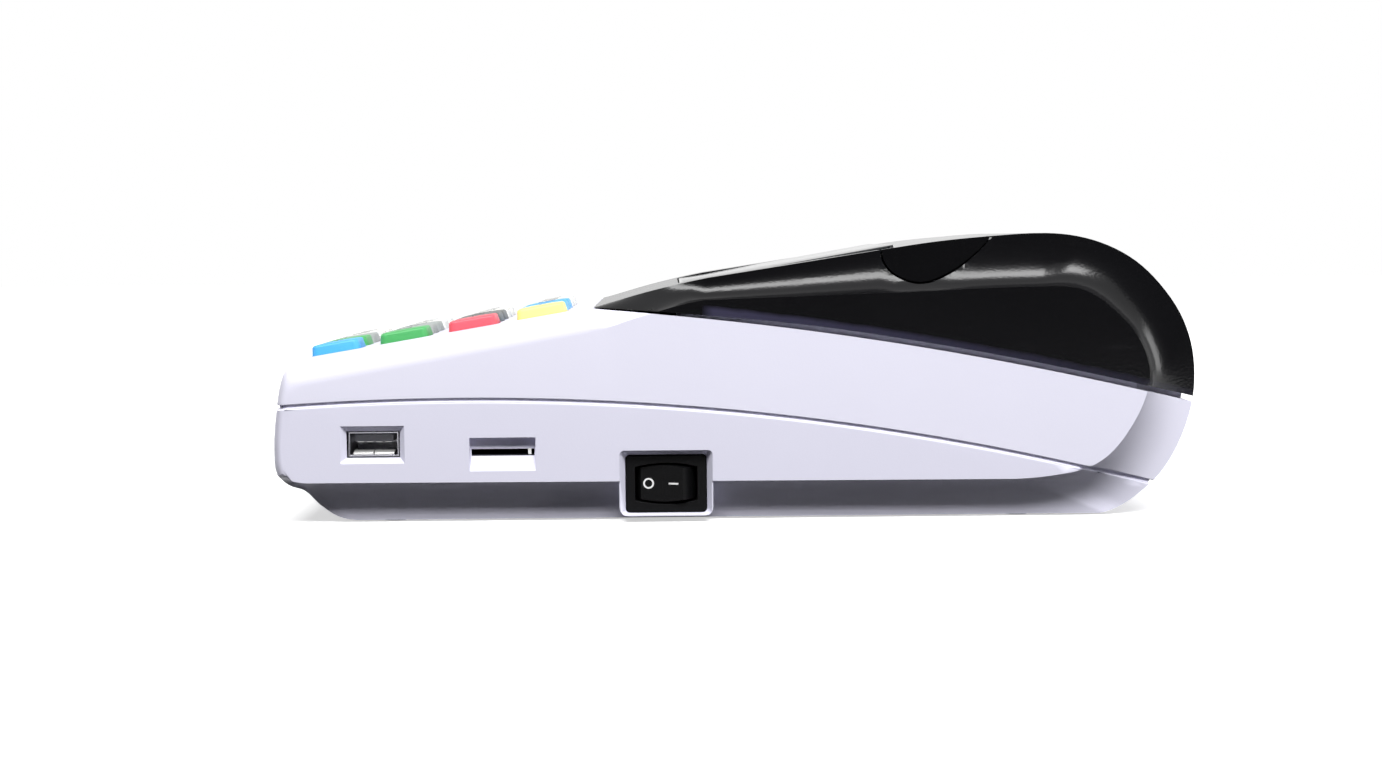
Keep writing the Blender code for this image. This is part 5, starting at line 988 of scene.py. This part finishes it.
def make_bezel():
    """Frame with a quarter-round outer edge, the switch body behind it, and the bowed cavity."""
    centre = np.array((SWITCH_MIDDLE.x, ROCKER_PIVOT.z))
    face = SWITCH_BOX[0].y
    turn = np.linspace(0.0, math.pi / 2.0, 5)[::-1]
    levels = [(face + BEZEL_EDGE * (1.0 - math.sin(t)), BEZEL_EDGE * (1.0 - math.cos(t))) for t in turn]
    rings = []
    for y, inset in levels + [(face + BEZEL_THICK, 0.0)]:
        flat = rounded(BEZEL_LONG - inset, BEZEL_TALL - inset, BEZEL_CORNER) + centre
        rings.append(np.stack((flat[:, 0], np.full(len(flat), y), flat[:, 1]), axis=1))
    piece = ring_skin("switch_bezel", np.stack(rings))
    join(piece, block("switch_body",
                      (centre[0] - HOUSING_LONG, face + BEZEL_THICK / 2.0, centre[1] - HOUSING_TALL),
                      (centre[0] + HOUSING_LONG, SWITCH_BOX[1].y, centre[1] + HOUSING_TALL)))
    outline = barrel_outline(ROCKER_SWEEP, GAP) + (ROCKER_PIVOT.x, ROCKER_PIVOT.z)
    return cut(piece, slab("cavity", outline, -WIDTH, face + CAVITY_BACK))


def face_rise(along):
    """How far out the valley-shaped face stands at a place along it."""
    corner = math.sin(ROCKER_CORNER) * ROCKER_SWEEP
    return ROCKER_VALLEY + (corner - ROCKER_VALLEY) * abs(along) / (math.cos(ROCKER_CORNER) * ROCKER_SWEEP)


def make_inlay(name, outer, inner):
    """A thin raised outline on the rocker's face, with a hole where an inner outline is given."""
    count = len(outer)
    loops = [outer] if inner is None else [outer, inner]
    rings = []
    for lift in (-INLAY_LIFT * 4.0, INLAY_LIFT):
        for loop in loops:
            rings.append(rocker_frame([(along, face_rise(along) + lift, up) for along, up in loop]))
    corners = np.concatenate(rings)
    faces = []
    for k in range(count):
        n = (k + 1) % count
        if inner is None:
            faces.append([k, n, count + n, count + k])
        else:
            faces += [[k, n, 2 * count + n, 2 * count + k], [count + k, count + n, 3 * count + n, 3 * count + k],
                      [2 * count + k, 2 * count + n, 3 * count + n, 3 * count + k], [k, n, count + n, count + k]]
    if inner is None:
        faces += [list(range(count)), list(range(count, 2 * count))]
    return place_mesh(name, corners, faces)


satin_black = worn_material("satin_black_plastic", (0.0050, 0.0050, 0.0054), 0.36, mottle=0.15, grain=4200.0,
                            depth=0.22, smear=0.12, scuff=0.15, specular=0.06)
mark_white = worn_material("mark_white", (0.85, 0.85, 0.85), 0.50, mottle=0.06, mottle_size=500.0)
bezel = dress(round_edges(make_bezel(), 0.00012), satin_black)
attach(bezel, "case")
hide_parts("switch_housing")
rocker = dress(round_edges(make_rocker(), 0.00030, 3), satin_black)
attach(rocker, "rocker")
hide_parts("switch_rocker")
ring_turn = circle((RING_PLACE, 0.0), RING_RADIUS, 40)
bar = rounded(BAR_LONG / 2.0, BAR_TALL / 2.0, BAR_TALL / 2.1, 6) + (BAR_PLACE, 0.0)
for inlay in (make_inlay("rocker_ring_mark", ring_turn, circle((RING_PLACE, 0.0), RING_BORE, 40)),
              make_inlay("rocker_bar_mark", bar, None)):
    dress(inlay, mark_white)
    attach(inlay, "rocker")

# USB socket: a plated shell with a tongue that carries four contacts, and two spring fingers on its floor.

USB_METAL = 0.0005
TONGUE_TALL, TONGUE_INSET, TONGUE_FRONT, TONGUE_REAR, TONGUE_DROP = 0.0019, 0.0011, 0.0016, 0.0012, 0.0004
CONTACT_PITCH, CONTACT_HALF, CONTACT_PROUD = 0.0024, 0.0008, 0.00012
FINGER_LONG, FINGER_BOW, FINGER_THICK, FINGER_SPLIT, FINGER_REACH = 0.0060, 0.0006, 0.00045, 0.00012, 0.0053


def make_usb():
    """Folded shell, open towards the window."""
    low, high = USB_BOX
    piece = block("usb_shell", low, high)
    cut(piece, block("usb_room", (low.x + USB_METAL, low.y - WALL, low.z + USB_METAL),
                     (high.x - USB_METAL, high.y - 2.0 * USB_METAL, high.z - USB_METAL)))
    return piece


def make_usb_finger(name, x0, x1):
    """A sprung contact that bows up from the shell's floor, a sine arch along its depth."""
    low = USB_BOX[0]
    depth = np.linspace(0.0, 1.0, 9)
    y = low.y + 0.0002 + depth * FINGER_LONG
    z = low.z + USB_METAL + FINGER_BOW * np.sin(depth * math.pi) ** 0.6 + 0.00005
    side = np.concatenate((np.stack((y, z), axis=1), np.stack((y, z + FINGER_THICK), axis=1)[::-1]))
    rings = [np.stack((np.full(len(side), x), side[:, 0], side[:, 1]), axis=1) for x in (x0, x1)]
    return ring_skin(name, np.stack(rings))


plated = worn_material("plated_steel", (0.300, 0.300, 0.330), 0.30, metallic=1.0, mottle=0.10, mottle_size=200.0,
                       grain=2600.0, depth=0.06, smear=0.20, scuff=0.12)
contact_grey = worn_material("contact_carrier", (0.200, 0.200, 0.215), 0.50, mottle=0.10, mottle_size=300.0)
contact_bright = worn_material("contact_bright", (0.800, 0.800, 0.780), 0.32, metallic=0.7, mottle=0.06,
                               mottle_size=300.0)
usb_shell = dress(round_edges(make_usb(), 0.00012), plated)
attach(usb_shell, "case")
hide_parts("usb_socket")
usb_middle = (USB_BOX[0].x + USB_BOX[1].x) / 2.0
usb_top = USB_BOX[1].z - USB_METAL
tongue_low = (USB_BOX[0].x + USB_METAL + TONGUE_INSET, USB_BOX[0].y + TONGUE_FRONT,
              usb_top - TONGUE_TALL - TONGUE_DROP)
tongue_high = (USB_BOX[1].x - USB_METAL - TONGUE_INSET, USB_BOX[1].y - TONGUE_REAR, usb_top - TONGUE_DROP)
usb_tongue = dress(round_edges(block("usb_tongue", tongue_low, tongue_high), 0.00015), contact_grey)
usb_parts = [usb_tongue]
for index in range(4):
    x = usb_middle + (index - 1.5) * CONTACT_PITCH
    strip = block(f"usb_contact_{index + 1}",
                  (x - CONTACT_HALF, tongue_low[1] + 0.0003, tongue_low[2] - CONTACT_PROUD),
                  (x + CONTACT_HALF, tongue_high[1] - 0.001, tongue_low[2] + 0.0002))
    usb_parts.append(dress(strip, contact_bright))
for name, side in (("usb_finger_left", -1), ("usb_finger_right", 1)):
    x0, x1 = sorted((usb_middle + side * FINGER_SPLIT, usb_middle + side * FINGER_REACH))
    usb_parts.append(dress(round_edges(make_usb_finger(name, x0, x1), 0.0001), contact_bright))
for part in usb_parts:
    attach(part, "case")

# Card socket: a thin plated shell behind the slot, with a bright end lug that shows beside the opening.

CARD_METAL, LUG_HALF, LUG_DEPTH = 0.0003, 0.00042, 0.0012


def make_card_socket():
    """A flat shell, open towards the slot."""
    low, high = CARD_BOX
    piece = block("card_socket_shell", low, high)
    return cut(piece, block("card_room", (low.x + CARD_METAL, low.y - WALL, low.z + CARD_METAL),
                            (high.x - CARD_METAL, high.y - CARD_METAL, high.z - CARD_METAL)))


socket_dark = worn_material("socket_dark_metal", (0.020, 0.021, 0.030), 0.45, metallic=0.6, mottle=0.15,
                            mottle_size=300.0, grain=2600.0)
card_shell = dress(make_card_socket(), socket_dark)
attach(card_shell, "case")
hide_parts("card_socket")
lug_x = (CARD_BOX[0].x + CARD_BOX[1].x) / 2.0 + CARD_HALF_SLOT - 3.0 * LUG_HALF
card_lug = block("card_socket_lug", (lug_x - LUG_HALF, CARD_BOX[0].y, CARD_BOX[0].z + CARD_METAL / 2.0),
                 (lug_x + LUG_HALF, CARD_BOX[0].y + LUG_DEPTH, CARD_BOX[1].z - CARD_METAL / 2.0))
dress(card_lug, contact_bright)
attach(card_lug, "case")
jack_black = worn_material("socket_black_plastic", (0.011, 0.011, 0.012), 0.48, grain=2200.0, depth=0.2)
dress_node("dc_jack", jack_black)

# Circuit boards, keypad mat and display module: glass-fibre boards under green lacquer with copper tracks, a
# moulded grey silicone mat under the keys, and the display's glass with its fine grid of cells.

TRACK_PITCH, CELL_PITCH = 0.0023, 0.00055
PAD_EDGE, PAD_TIN, CELL_LINE = (0.13, 0.16), (0.62, 0.60, 0.55, 1.0), (0.030, 0.038, 0.030, 1.0)


def board_lacquer(name, lacquer, track):
    """Green lacquer, lighter along a staggered grid of tracks, with small bright pads. Object coordinates."""
    material = worn_material(name, lacquer, 0.34, mottle=0.12, mottle_size=120.0, grain=1800.0, depth=0.15)
    tree, colour, shown = colour_ends(material)
    place = object_place(tree)
    grid = add_node(tree, "ShaderNodeTexBrick", {
        "Vector": place, "Scale": 1.0, "Brick Width": 3.0 * TRACK_PITCH, "Row Height": TRACK_PITCH,
        "Mortar Size": TRACK_PITCH / 9.0, "Mortar": (*track, 1.0), "Color1": colour, "Color2": colour})
    pads = add_node(tree, "ShaderNodeTexVoronoi", {"Vector": place, "Scale": 1.0 / (2.0 * TRACK_PITCH)})
    near = add_node(tree, "ShaderNodeMapRange", {"Value": pads.outputs["Distance"], "From Min": PAD_EDGE[1],
                                                 "From Max": PAD_EDGE[0]})
    tree.links.new(colour_mix(tree, near.outputs["Result"], grid.outputs["Color"], PAD_TIN), shown)
    return material


def display_cells():
    """Grey-green glass with the thin dark lines of its cells, in a plane turned to the lid's slope."""
    material = worn_material("display_glass", (0.085, 0.105, 0.085), 0.16, mottle=0.05, grain=600.0, depth=0.02,
                             coat=0.6)
    tree, colour, shown = colour_ends(material)
    turned_place = add_node(tree, "ShaderNodeMapping", {"Vector": object_place(tree),
                                                        "Rotation": (0.0, LID_SLOPE, 0.0)})
    grid = add_node(tree, "ShaderNodeTexBrick", {
        "Vector": turned_place.outputs["Vector"], "Scale": 1.0, "Brick Width": CELL_PITCH,
        "Row Height": CELL_PITCH, "Mortar Size": CELL_PITCH / 14.0, "Mortar": CELL_LINE, "Color1": colour,
        "Color2": colour}, offset=0.0)
    tree.links.new(grid.outputs["Color"], shown)
    return material


board_green = board_lacquer("board_green_lacquer", (0.010, 0.085, 0.035), (0.030, 0.190, 0.085))
mat_silicone = worn_material("mat_grey_silicone", (0.300, 0.310, 0.310), 0.62, mottle=0.08, grain=2000.0,
                             depth=0.2, scuff=0.15)
for node in ("main_board", "keypad_board"):
    dress_node(node, board_green)
dress_node("keypad_mat", mat_silicone)
dress_node("lcd_module", display_cells())

# Printer: a black frame with the thermal head on its spring, a rubber platen on a steel shaft, a small stepping
# motor that drives the platen by a brass pinion and two nylon gears, and a steel tear bar.

head_ceramic = worn_material("head_dark_ceramic", (0.065, 0.055, 0.050), 0.30, mottle=0.15, mottle_size=220.0,
                             grain=1500.0, depth=0.1, coat=0.3)
frame_black = worn_material("frame_black_plastic", (0.014, 0.014, 0.015), 0.52, grain=1900.0, depth=0.3,
                            scuff=0.15)
platen_rubber = worn_material("platen_rubber", (0.022, 0.022, 0.023), 0.78, mottle=0.20, mottle_size=160.0,
                              grain=3600.0, depth=0.35, smear=0.12, scuff=0.10)
ground_steel = worn_material("ground_steel", (0.480, 0.480, 0.490), 0.24, metallic=1.0, mottle=0.08,
                             mottle_size=260.0, grain=3200.0, depth=0.10, smear=0.12, scuff=0.20)
motor_steel = worn_material("motor_zinc_steel", (0.400, 0.405, 0.400), 0.38, metallic=1.0, mottle=0.25,
                            mottle_size=150.0, grain=900.0, depth=0.12, smear=0.15, scuff=0.20)
gear_nylon = worn_material("gear_nylon", (0.720, 0.700, 0.630), 0.44, mottle=0.06, mottle_size=140.0,
                           grain=1800.0, depth=0.12, scuff=0.15)
pinion_brass = worn_material("pinion_brass", (0.560, 0.370, 0.120), 0.28, metallic=1.0, mottle=0.18,
                             mottle_size=400.0, grain=3000.0, depth=0.08, smear=0.15, scuff=0.20)
for material, names in ((head_ceramic, ("print_head",)), (frame_black, ("printer_frame",)),
                        (platen_rubber, ("platen_roller",)), (motor_steel, ("stepper_motor",)),
                        (ground_steel, ("platen_shaft", "idler_pin", "head_spring", "tear_bar",
                                        "door_hinge_pin")),
                        (gear_nylon, ("platen_gear", "idler_gear")), (pinion_brass, ("motor_pinion",))):
    for node in names:
        dress_node(node, material)

# Paper: a moulded bin with a wound roll of thermal paper, whose ends show the edges of its turns.

ROLL_BORE, ROLL_EDGE, ROLL_RIPPLE, ROLL_TURNS = 0.0060, 0.0004, 0.00005, 11
ROLL_SEGMENTS = 144


def make_roll():
    """A closed loop of radius and height, spun round the roll's axis: the ends rise and fall with the cosine of
    the way out, as the turns of a wound strip do."""
    low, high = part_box("paper_roll")
    middle_x, middle_z = (low.x + high.x) / 2.0, (low.z + high.z) / 2.0
    outer, half = (high.x - low.x) / 2.0, (high.y - low.y) / 2.0
    way = np.linspace(0.0, 1.0, 8 * ROLL_TURNS + 1)
    radius = ROLL_BORE + ROLL_EDGE + (outer - ROLL_BORE - 2.0 * ROLL_EDGE) * way
    level = half - ROLL_RIPPLE * (1.0 - np.cos(way * ROLL_TURNS * 2.0 * math.pi))
    loop = np.concatenate((
        [(ROLL_BORE, ROLL_EDGE - half), (ROLL_BORE, half - ROLL_EDGE)], np.stack((radius, level), axis=1),
        [(outer, half - ROLL_EDGE), (outer, ROLL_EDGE - half)], np.stack((radius, -level), axis=1)[::-1]))
    turn = np.arange(ROLL_SEGMENTS) * 2.0 * math.pi / ROLL_SEGMENTS
    x = middle_x + np.outer(np.cos(turn), loop[:, 0])
    z = middle_z + np.outer(np.sin(turn), loop[:, 0])
    y = np.broadcast_to(loop[:, 1], x.shape)
    index = np.arange(x.size).reshape(x.shape)
    right, above = np.roll(index, -1, axis=1), np.roll(index, -1, axis=0)
    quads = np.stack((index, right, np.roll(above, -1, axis=1), above), axis=-1).reshape(-1, 4)
    piece = place_mesh("wound_paper_roll", np.stack((x, y, z), axis=-1), quads.tolist())
    piece.data.shade_smooth()
    piece.data.set_sharp_from_angle(angle=SHARP_ANGLE)
    return piece


def paper_stock():
    """Off-white paper. The rings are a wave of the distance from the roll's axis, centred by a Mapping node."""
    low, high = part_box("paper_roll")
    material = worn_material("thermal_paper", (0.800, 0.790, 0.760), 0.66, mottle=0.04, mottle_size=300.0,
                             grain=2400.0, depth=0.2, smear=0.05)
    tree, colour, shown = colour_ends(material)
    axis = (-(low.x + high.x) / 2.0, 0.0, -(low.z + high.z) / 2.0)
    centre = add_node(tree, "ShaderNodeMapping", {"Vector": object_place(tree), "Location": axis})
    rings = add_node(tree, "ShaderNodeTexWave", {"Vector": centre.outputs["Vector"], "Scale": 260.0,
                                                 "Distortion": 0.6}, wave_type="RINGS", rings_direction="Y")
    tree.links.new(colour_mix(tree, 0.16, colour, rings.outputs["Color"], "MULTIPLY"), shown)
    return material


wound_roll = dress(make_roll(), paper_stock())
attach(wound_roll, "roll")
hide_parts("paper_roll")
dress_node("paper_bin", frame_black)

# Underside: the battery and its hatch, four rubber feet with a rounded rim and a hollowed middle, and four
# screws with a cross recess, driven up from below.

FOOT_RIM, FOOT_HOLLOW = 0.0003, 0.0002
SCREW_SHANK, SCREW_HEAD_TALL, SCREW_CHAMFER = 0.0015, 0.0020, 0.0003
CROSS_LONG, CROSS_WIDE, CROSS_DEEP = 0.0014, 0.00035, 0.0011


def turned(name, place, profile, count=48):
    """A profile of (radius, height) spun round an upright axis: x and y are cosine and sine of the turn."""
    profile = np.asarray(profile, float)
    turn = np.arange(count) * 2.0 * math.pi / count
    rings = np.stack((place[0] + np.outer(profile[:, 0], np.cos(turn)),
                      place[1] + np.outer(profile[:, 0], np.sin(turn)),
                      np.repeat(profile[:, 1:], count, axis=1)), axis=-1)
    piece = ring_skin(name, rings)
    piece.data.shade_smooth()
    piece.data.set_sharp_from_angle(angle=SHARP_ANGLE)
    return piece


def make_foot(name, low, high):
    """A disc with a quarter-round rim and a shallow hollow underneath."""
    radius = (high.x - low.x) / 2.0
    turn = np.linspace(0.0, math.pi / 2.0, 5)
    rim = np.array((radius, low.z)) - FOOT_RIM * np.stack((1.0 - np.sin(turn), np.cos(turn) - 1.0), axis=1)
    hollow = ((radius * 0.2, low.z + FOOT_HOLLOW), (radius * 0.6, low.z + FOOT_HOLLOW), (radius * 0.68, low.z))
    return turned(name, ((low.x + high.x) / 2.0, (low.y + high.y) / 2.0),
                  np.concatenate((hollow, rim, ((radius, high.z), (radius * 0.2, high.z)))))


def make_screw(name, low, high):
    """Pan head with a chamfer and a cross recess, and a plain shank."""
    x, y = (low.x + high.x) / 2.0, (low.y + high.y) / 2.0
    head = (high.x - low.x) / 2.0
    piece = turned(name, (x, y), (
        (head * 0.2, low.z), (head - SCREW_CHAMFER, low.z), (head, low.z + SCREW_CHAMFER),
        (head, low.z + SCREW_HEAD_TALL), (SCREW_SHANK, low.z + SCREW_HEAD_TALL), (SCREW_SHANK, high.z),
        (SCREW_SHANK * 0.2, high.z)))
    for half_x, half_y in ((CROSS_LONG, CROSS_WIDE), (CROSS_WIDE, CROSS_LONG)):
        cut(piece, block("cross", (x - half_x, y - half_y, low.z - GAP),
                         (x + half_x, y + half_y, low.z + CROSS_DEEP)))
    return piece


foot_rubber = worn_material("foot_rubber", (0.030, 0.030, 0.031), 0.72, mottle=0.18, mottle_size=200.0,
                            grain=2800.0, depth=0.3, smear=0.15, scuff=0.12)
for corner_name in CORNER_NAMES:
    for kind, make, material, slot in (("foot", make_foot, foot_rubber, "rubber"),
                                       ("case_screw", make_screw, ground_steel, "steel")):
        node = f"{kind}_{corner_name}"
        piece = dress(make("shown_" + node, *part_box(node)), material)
        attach(piece, "case")
        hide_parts(node)
dress_node("battery_cover", white_lower)
battery_wrap = worn_material("battery_wrap", (0.012, 0.020, 0.060), 0.30, mottle=0.10, grain=900.0, depth=0.25,
                             smear=0.10, scuff=0.20)
dress_node("battery_pack", battery_wrap)


# Studio: a pale floor, white for the camera, a long soft light above the near side, small ones behind, and a
# black card that only the gloss reflects. The camera looks square at the near side from a little above.

STUDIO_HALF = 3.0
BLACK_CARD_PLACE, BLACK_CARD_HALF, BLACK_CARD_HIGH = -0.30, 0.80, 0.26
GLOW_REACH, GLOW_STRENGTH = (0.20, 0.70), (0.55, 1.0)
DIM_BOUNCE, SHEET_WHITE = ((0.022, 0.022, 0.024, 1.0), (0.028, 0.028, 0.030, 1.0)), (0.90, 0.90, 0.90, 1.0)
SKY_DIM, SKY_STRENGTH = (0.93, 0.95, 1.0, 1.0), 0.035
CAMERA_PLACE = Vector((-0.0178, -0.6025, 0.0735))
CAMERA_PITCH, CAMERA_YAW, CAMERA_ROLL = math.radians(4.03), math.radians(0.616), math.radians(0.48)
CAMERA_LENS, CAMERA_SENSOR = 55.7, 36.0


def seen_directly(tree):
    """1 for camera, mirror and see-through rays."""
    path = add_node(tree, "ShaderNodeLightPath").outputs
    either = maths(tree, "MAXIMUM", path["Is Camera Ray"], path["Is Glossy Ray"])
    return maths(tree, "MAXIMUM", either, path["Is Transmission Ray"])


def white_for_camera(name):
    """White paper for camera, mirror and see-through rays, which keeps the soft shadow near the register and
    glows evenly further off, and a dim bounce for all other rays."""
    material = bpy.data.materials.new(name)
    material.use_nodes = True
    tree = material.node_tree
    tree.nodes.clear()
    place = object_place(tree)
    ramp = add_node(tree, "ShaderNodeValToRGB", {"Fac": noise(tree, place, scale=6.0)})
    for element, colour in zip(ramp.color_ramp.elements, DIM_BOUNCE):
        element.color = colour
    dim = add_node(tree, "ShaderNodeBsdfDiffuse", {"Color": ramp.outputs["Color"]})
    distance = add_node(tree, "ShaderNodeVectorMath", {0: place}, operation="LENGTH").outputs["Value"]
    reach = add_node(tree, "ShaderNodeMapRange", {
        "Value": distance, "From Min": GLOW_REACH[0], "From Max": GLOW_REACH[1], "To Min": GLOW_STRENGTH[0],
        "To Max": GLOW_STRENGTH[1]})
    glow = add_node(tree, "ShaderNodeEmission", {"Strength": reach.outputs["Result"]})
    lit = add_node(tree, "ShaderNodeBsdfDiffuse", {"Color": SHEET_WHITE})
    both = add_node(tree, "ShaderNodeAddShader", {0: lit.outputs["BSDF"], 1: glow.outputs["Emission"]})
    mix = add_node(tree, "ShaderNodeMixShader", {"Fac": seen_directly(tree), 1: dim.outputs["BSDF"],
                                                 2: both.outputs["Shader"]})
    add_node(tree, "ShaderNodeOutputMaterial", {"Surface": mix.outputs["Shader"]})
    return material


def flat_sheet(name, low, high, material):
    """A level rectangle between two corners, as part of the studio."""
    (x0, y0, z0), (x1, y1, z1) = low, high
    sheet = place_mesh(name, ((x0, y0, z0), (x1, y0, z0), (x1, y1, z1), (x0, y1, z1)), [[0, 1, 2, 3]])
    dress(sheet, material)
    return sheet


flat_sheet("studio_sheet", (-STUDIO_HALF, -STUDIO_HALF, 0.0), (STUDIO_HALF, STUDIO_HALF, 0.0),
           white_for_camera("studio_white"))
studio_dark = worn_material("studio_dark", (0.012, 0.012, 0.014), 0.85, mottle=0.3, mottle_size=2.0)
black_card = flat_sheet("studio_black_card", (-BLACK_CARD_HALF, BLACK_CARD_PLACE, 0.0),
                        (BLACK_CARD_HALF, BLACK_CARD_PLACE, BLACK_CARD_HIGH), studio_dark)
black_card.visible_camera = black_card.visible_diffuse = False
black_card.visible_shadow = black_card.visible_transmission = False


def soft_light(name, place, aim, width, height, power):
    """A rectangular soft light that looks from its place to its aim."""
    lamp = bpy.data.lights.new(name, "AREA")
    lamp.shape, lamp.size, lamp.size_y, lamp.energy = "RECTANGLE", width, height, power
    holder = bpy.data.objects.new(name, lamp)
    holder.location = place
    holder.rotation_euler = (Vector(aim) - Vector(place)).to_track_quat("-Z", "Y").to_euler()
    scene.collection.objects.link(holder)


MIDDLE = (0.0, 0.0, HEIGHT / 2.0)
soft_light("main_softbox", (0.0, -0.60, 0.81), MIDDLE, 1.1, 0.28, 17.3)
soft_light("far_left", (-0.75, 0.85, 0.34), MIDDLE, 0.5, 0.3, 3.2)
soft_light("far_right", (0.75, 0.85, 0.34), MIDDLE, 0.5, 0.3, 3.2)
soft_light("rear_side", (1.05, -0.26, 0.22), MIDDLE, 0.4, 0.4, 3.0)

world = bpy.data.worlds.new("studio_world")
world.use_nodes = True
sky = world.node_tree
sky.nodes.clear()
sky_dim = add_node(sky, "ShaderNodeBackground", {"Color": SKY_DIM, "Strength": SKY_STRENGTH})
sky_white = add_node(sky, "ShaderNodeBackground", {"Color": (1.0, 1.0, 1.0, 1.0)})
sky_mix = add_node(sky, "ShaderNodeMixShader", {"Fac": seen_directly(sky), 1: sky_dim.outputs["Background"],
                                                2: sky_white.outputs["Background"]})
add_node(sky, "ShaderNodeOutputWorld", {"Surface": sky_mix.outputs["Shader"]})
scene.world = world
scene.view_settings.view_transform = "Standard"

camera_data = bpy.data.cameras.new("photo_camera")
camera_data.lens, camera_data.sensor_width = CAMERA_LENS, CAMERA_SENSOR
camera_data.clip_start, camera_data.clip_end = 0.01, 20.0
camera = bpy.data.objects.new("photo_camera", camera_data)
scene.collection.objects.link(camera)
ahead = Vector((math.sin(CAMERA_YAW) * math.cos(CAMERA_PITCH), math.cos(CAMERA_YAW) * math.cos(CAMERA_PITCH),
                -math.sin(CAMERA_PITCH)))
level = Vector((math.cos(CAMERA_YAW), -math.sin(CAMERA_YAW), 0.0))
upward = level.cross(ahead)
right = level * math.cos(CAMERA_ROLL) - upward * math.sin(CAMERA_ROLL)
top = upward * math.cos(CAMERA_ROLL) + level * math.sin(CAMERA_ROLL)
camera.matrix_world = Matrix((
    (right.x, top.x, -ahead.x, CAMERA_PLACE.x), (right.y, top.y, -ahead.y, CAMERA_PLACE.y),
    (right.z, top.z, -ahead.z, CAMERA_PLACE.z), (0.0, 0.0, 0.0, 1.0)))
scene.camera = camera
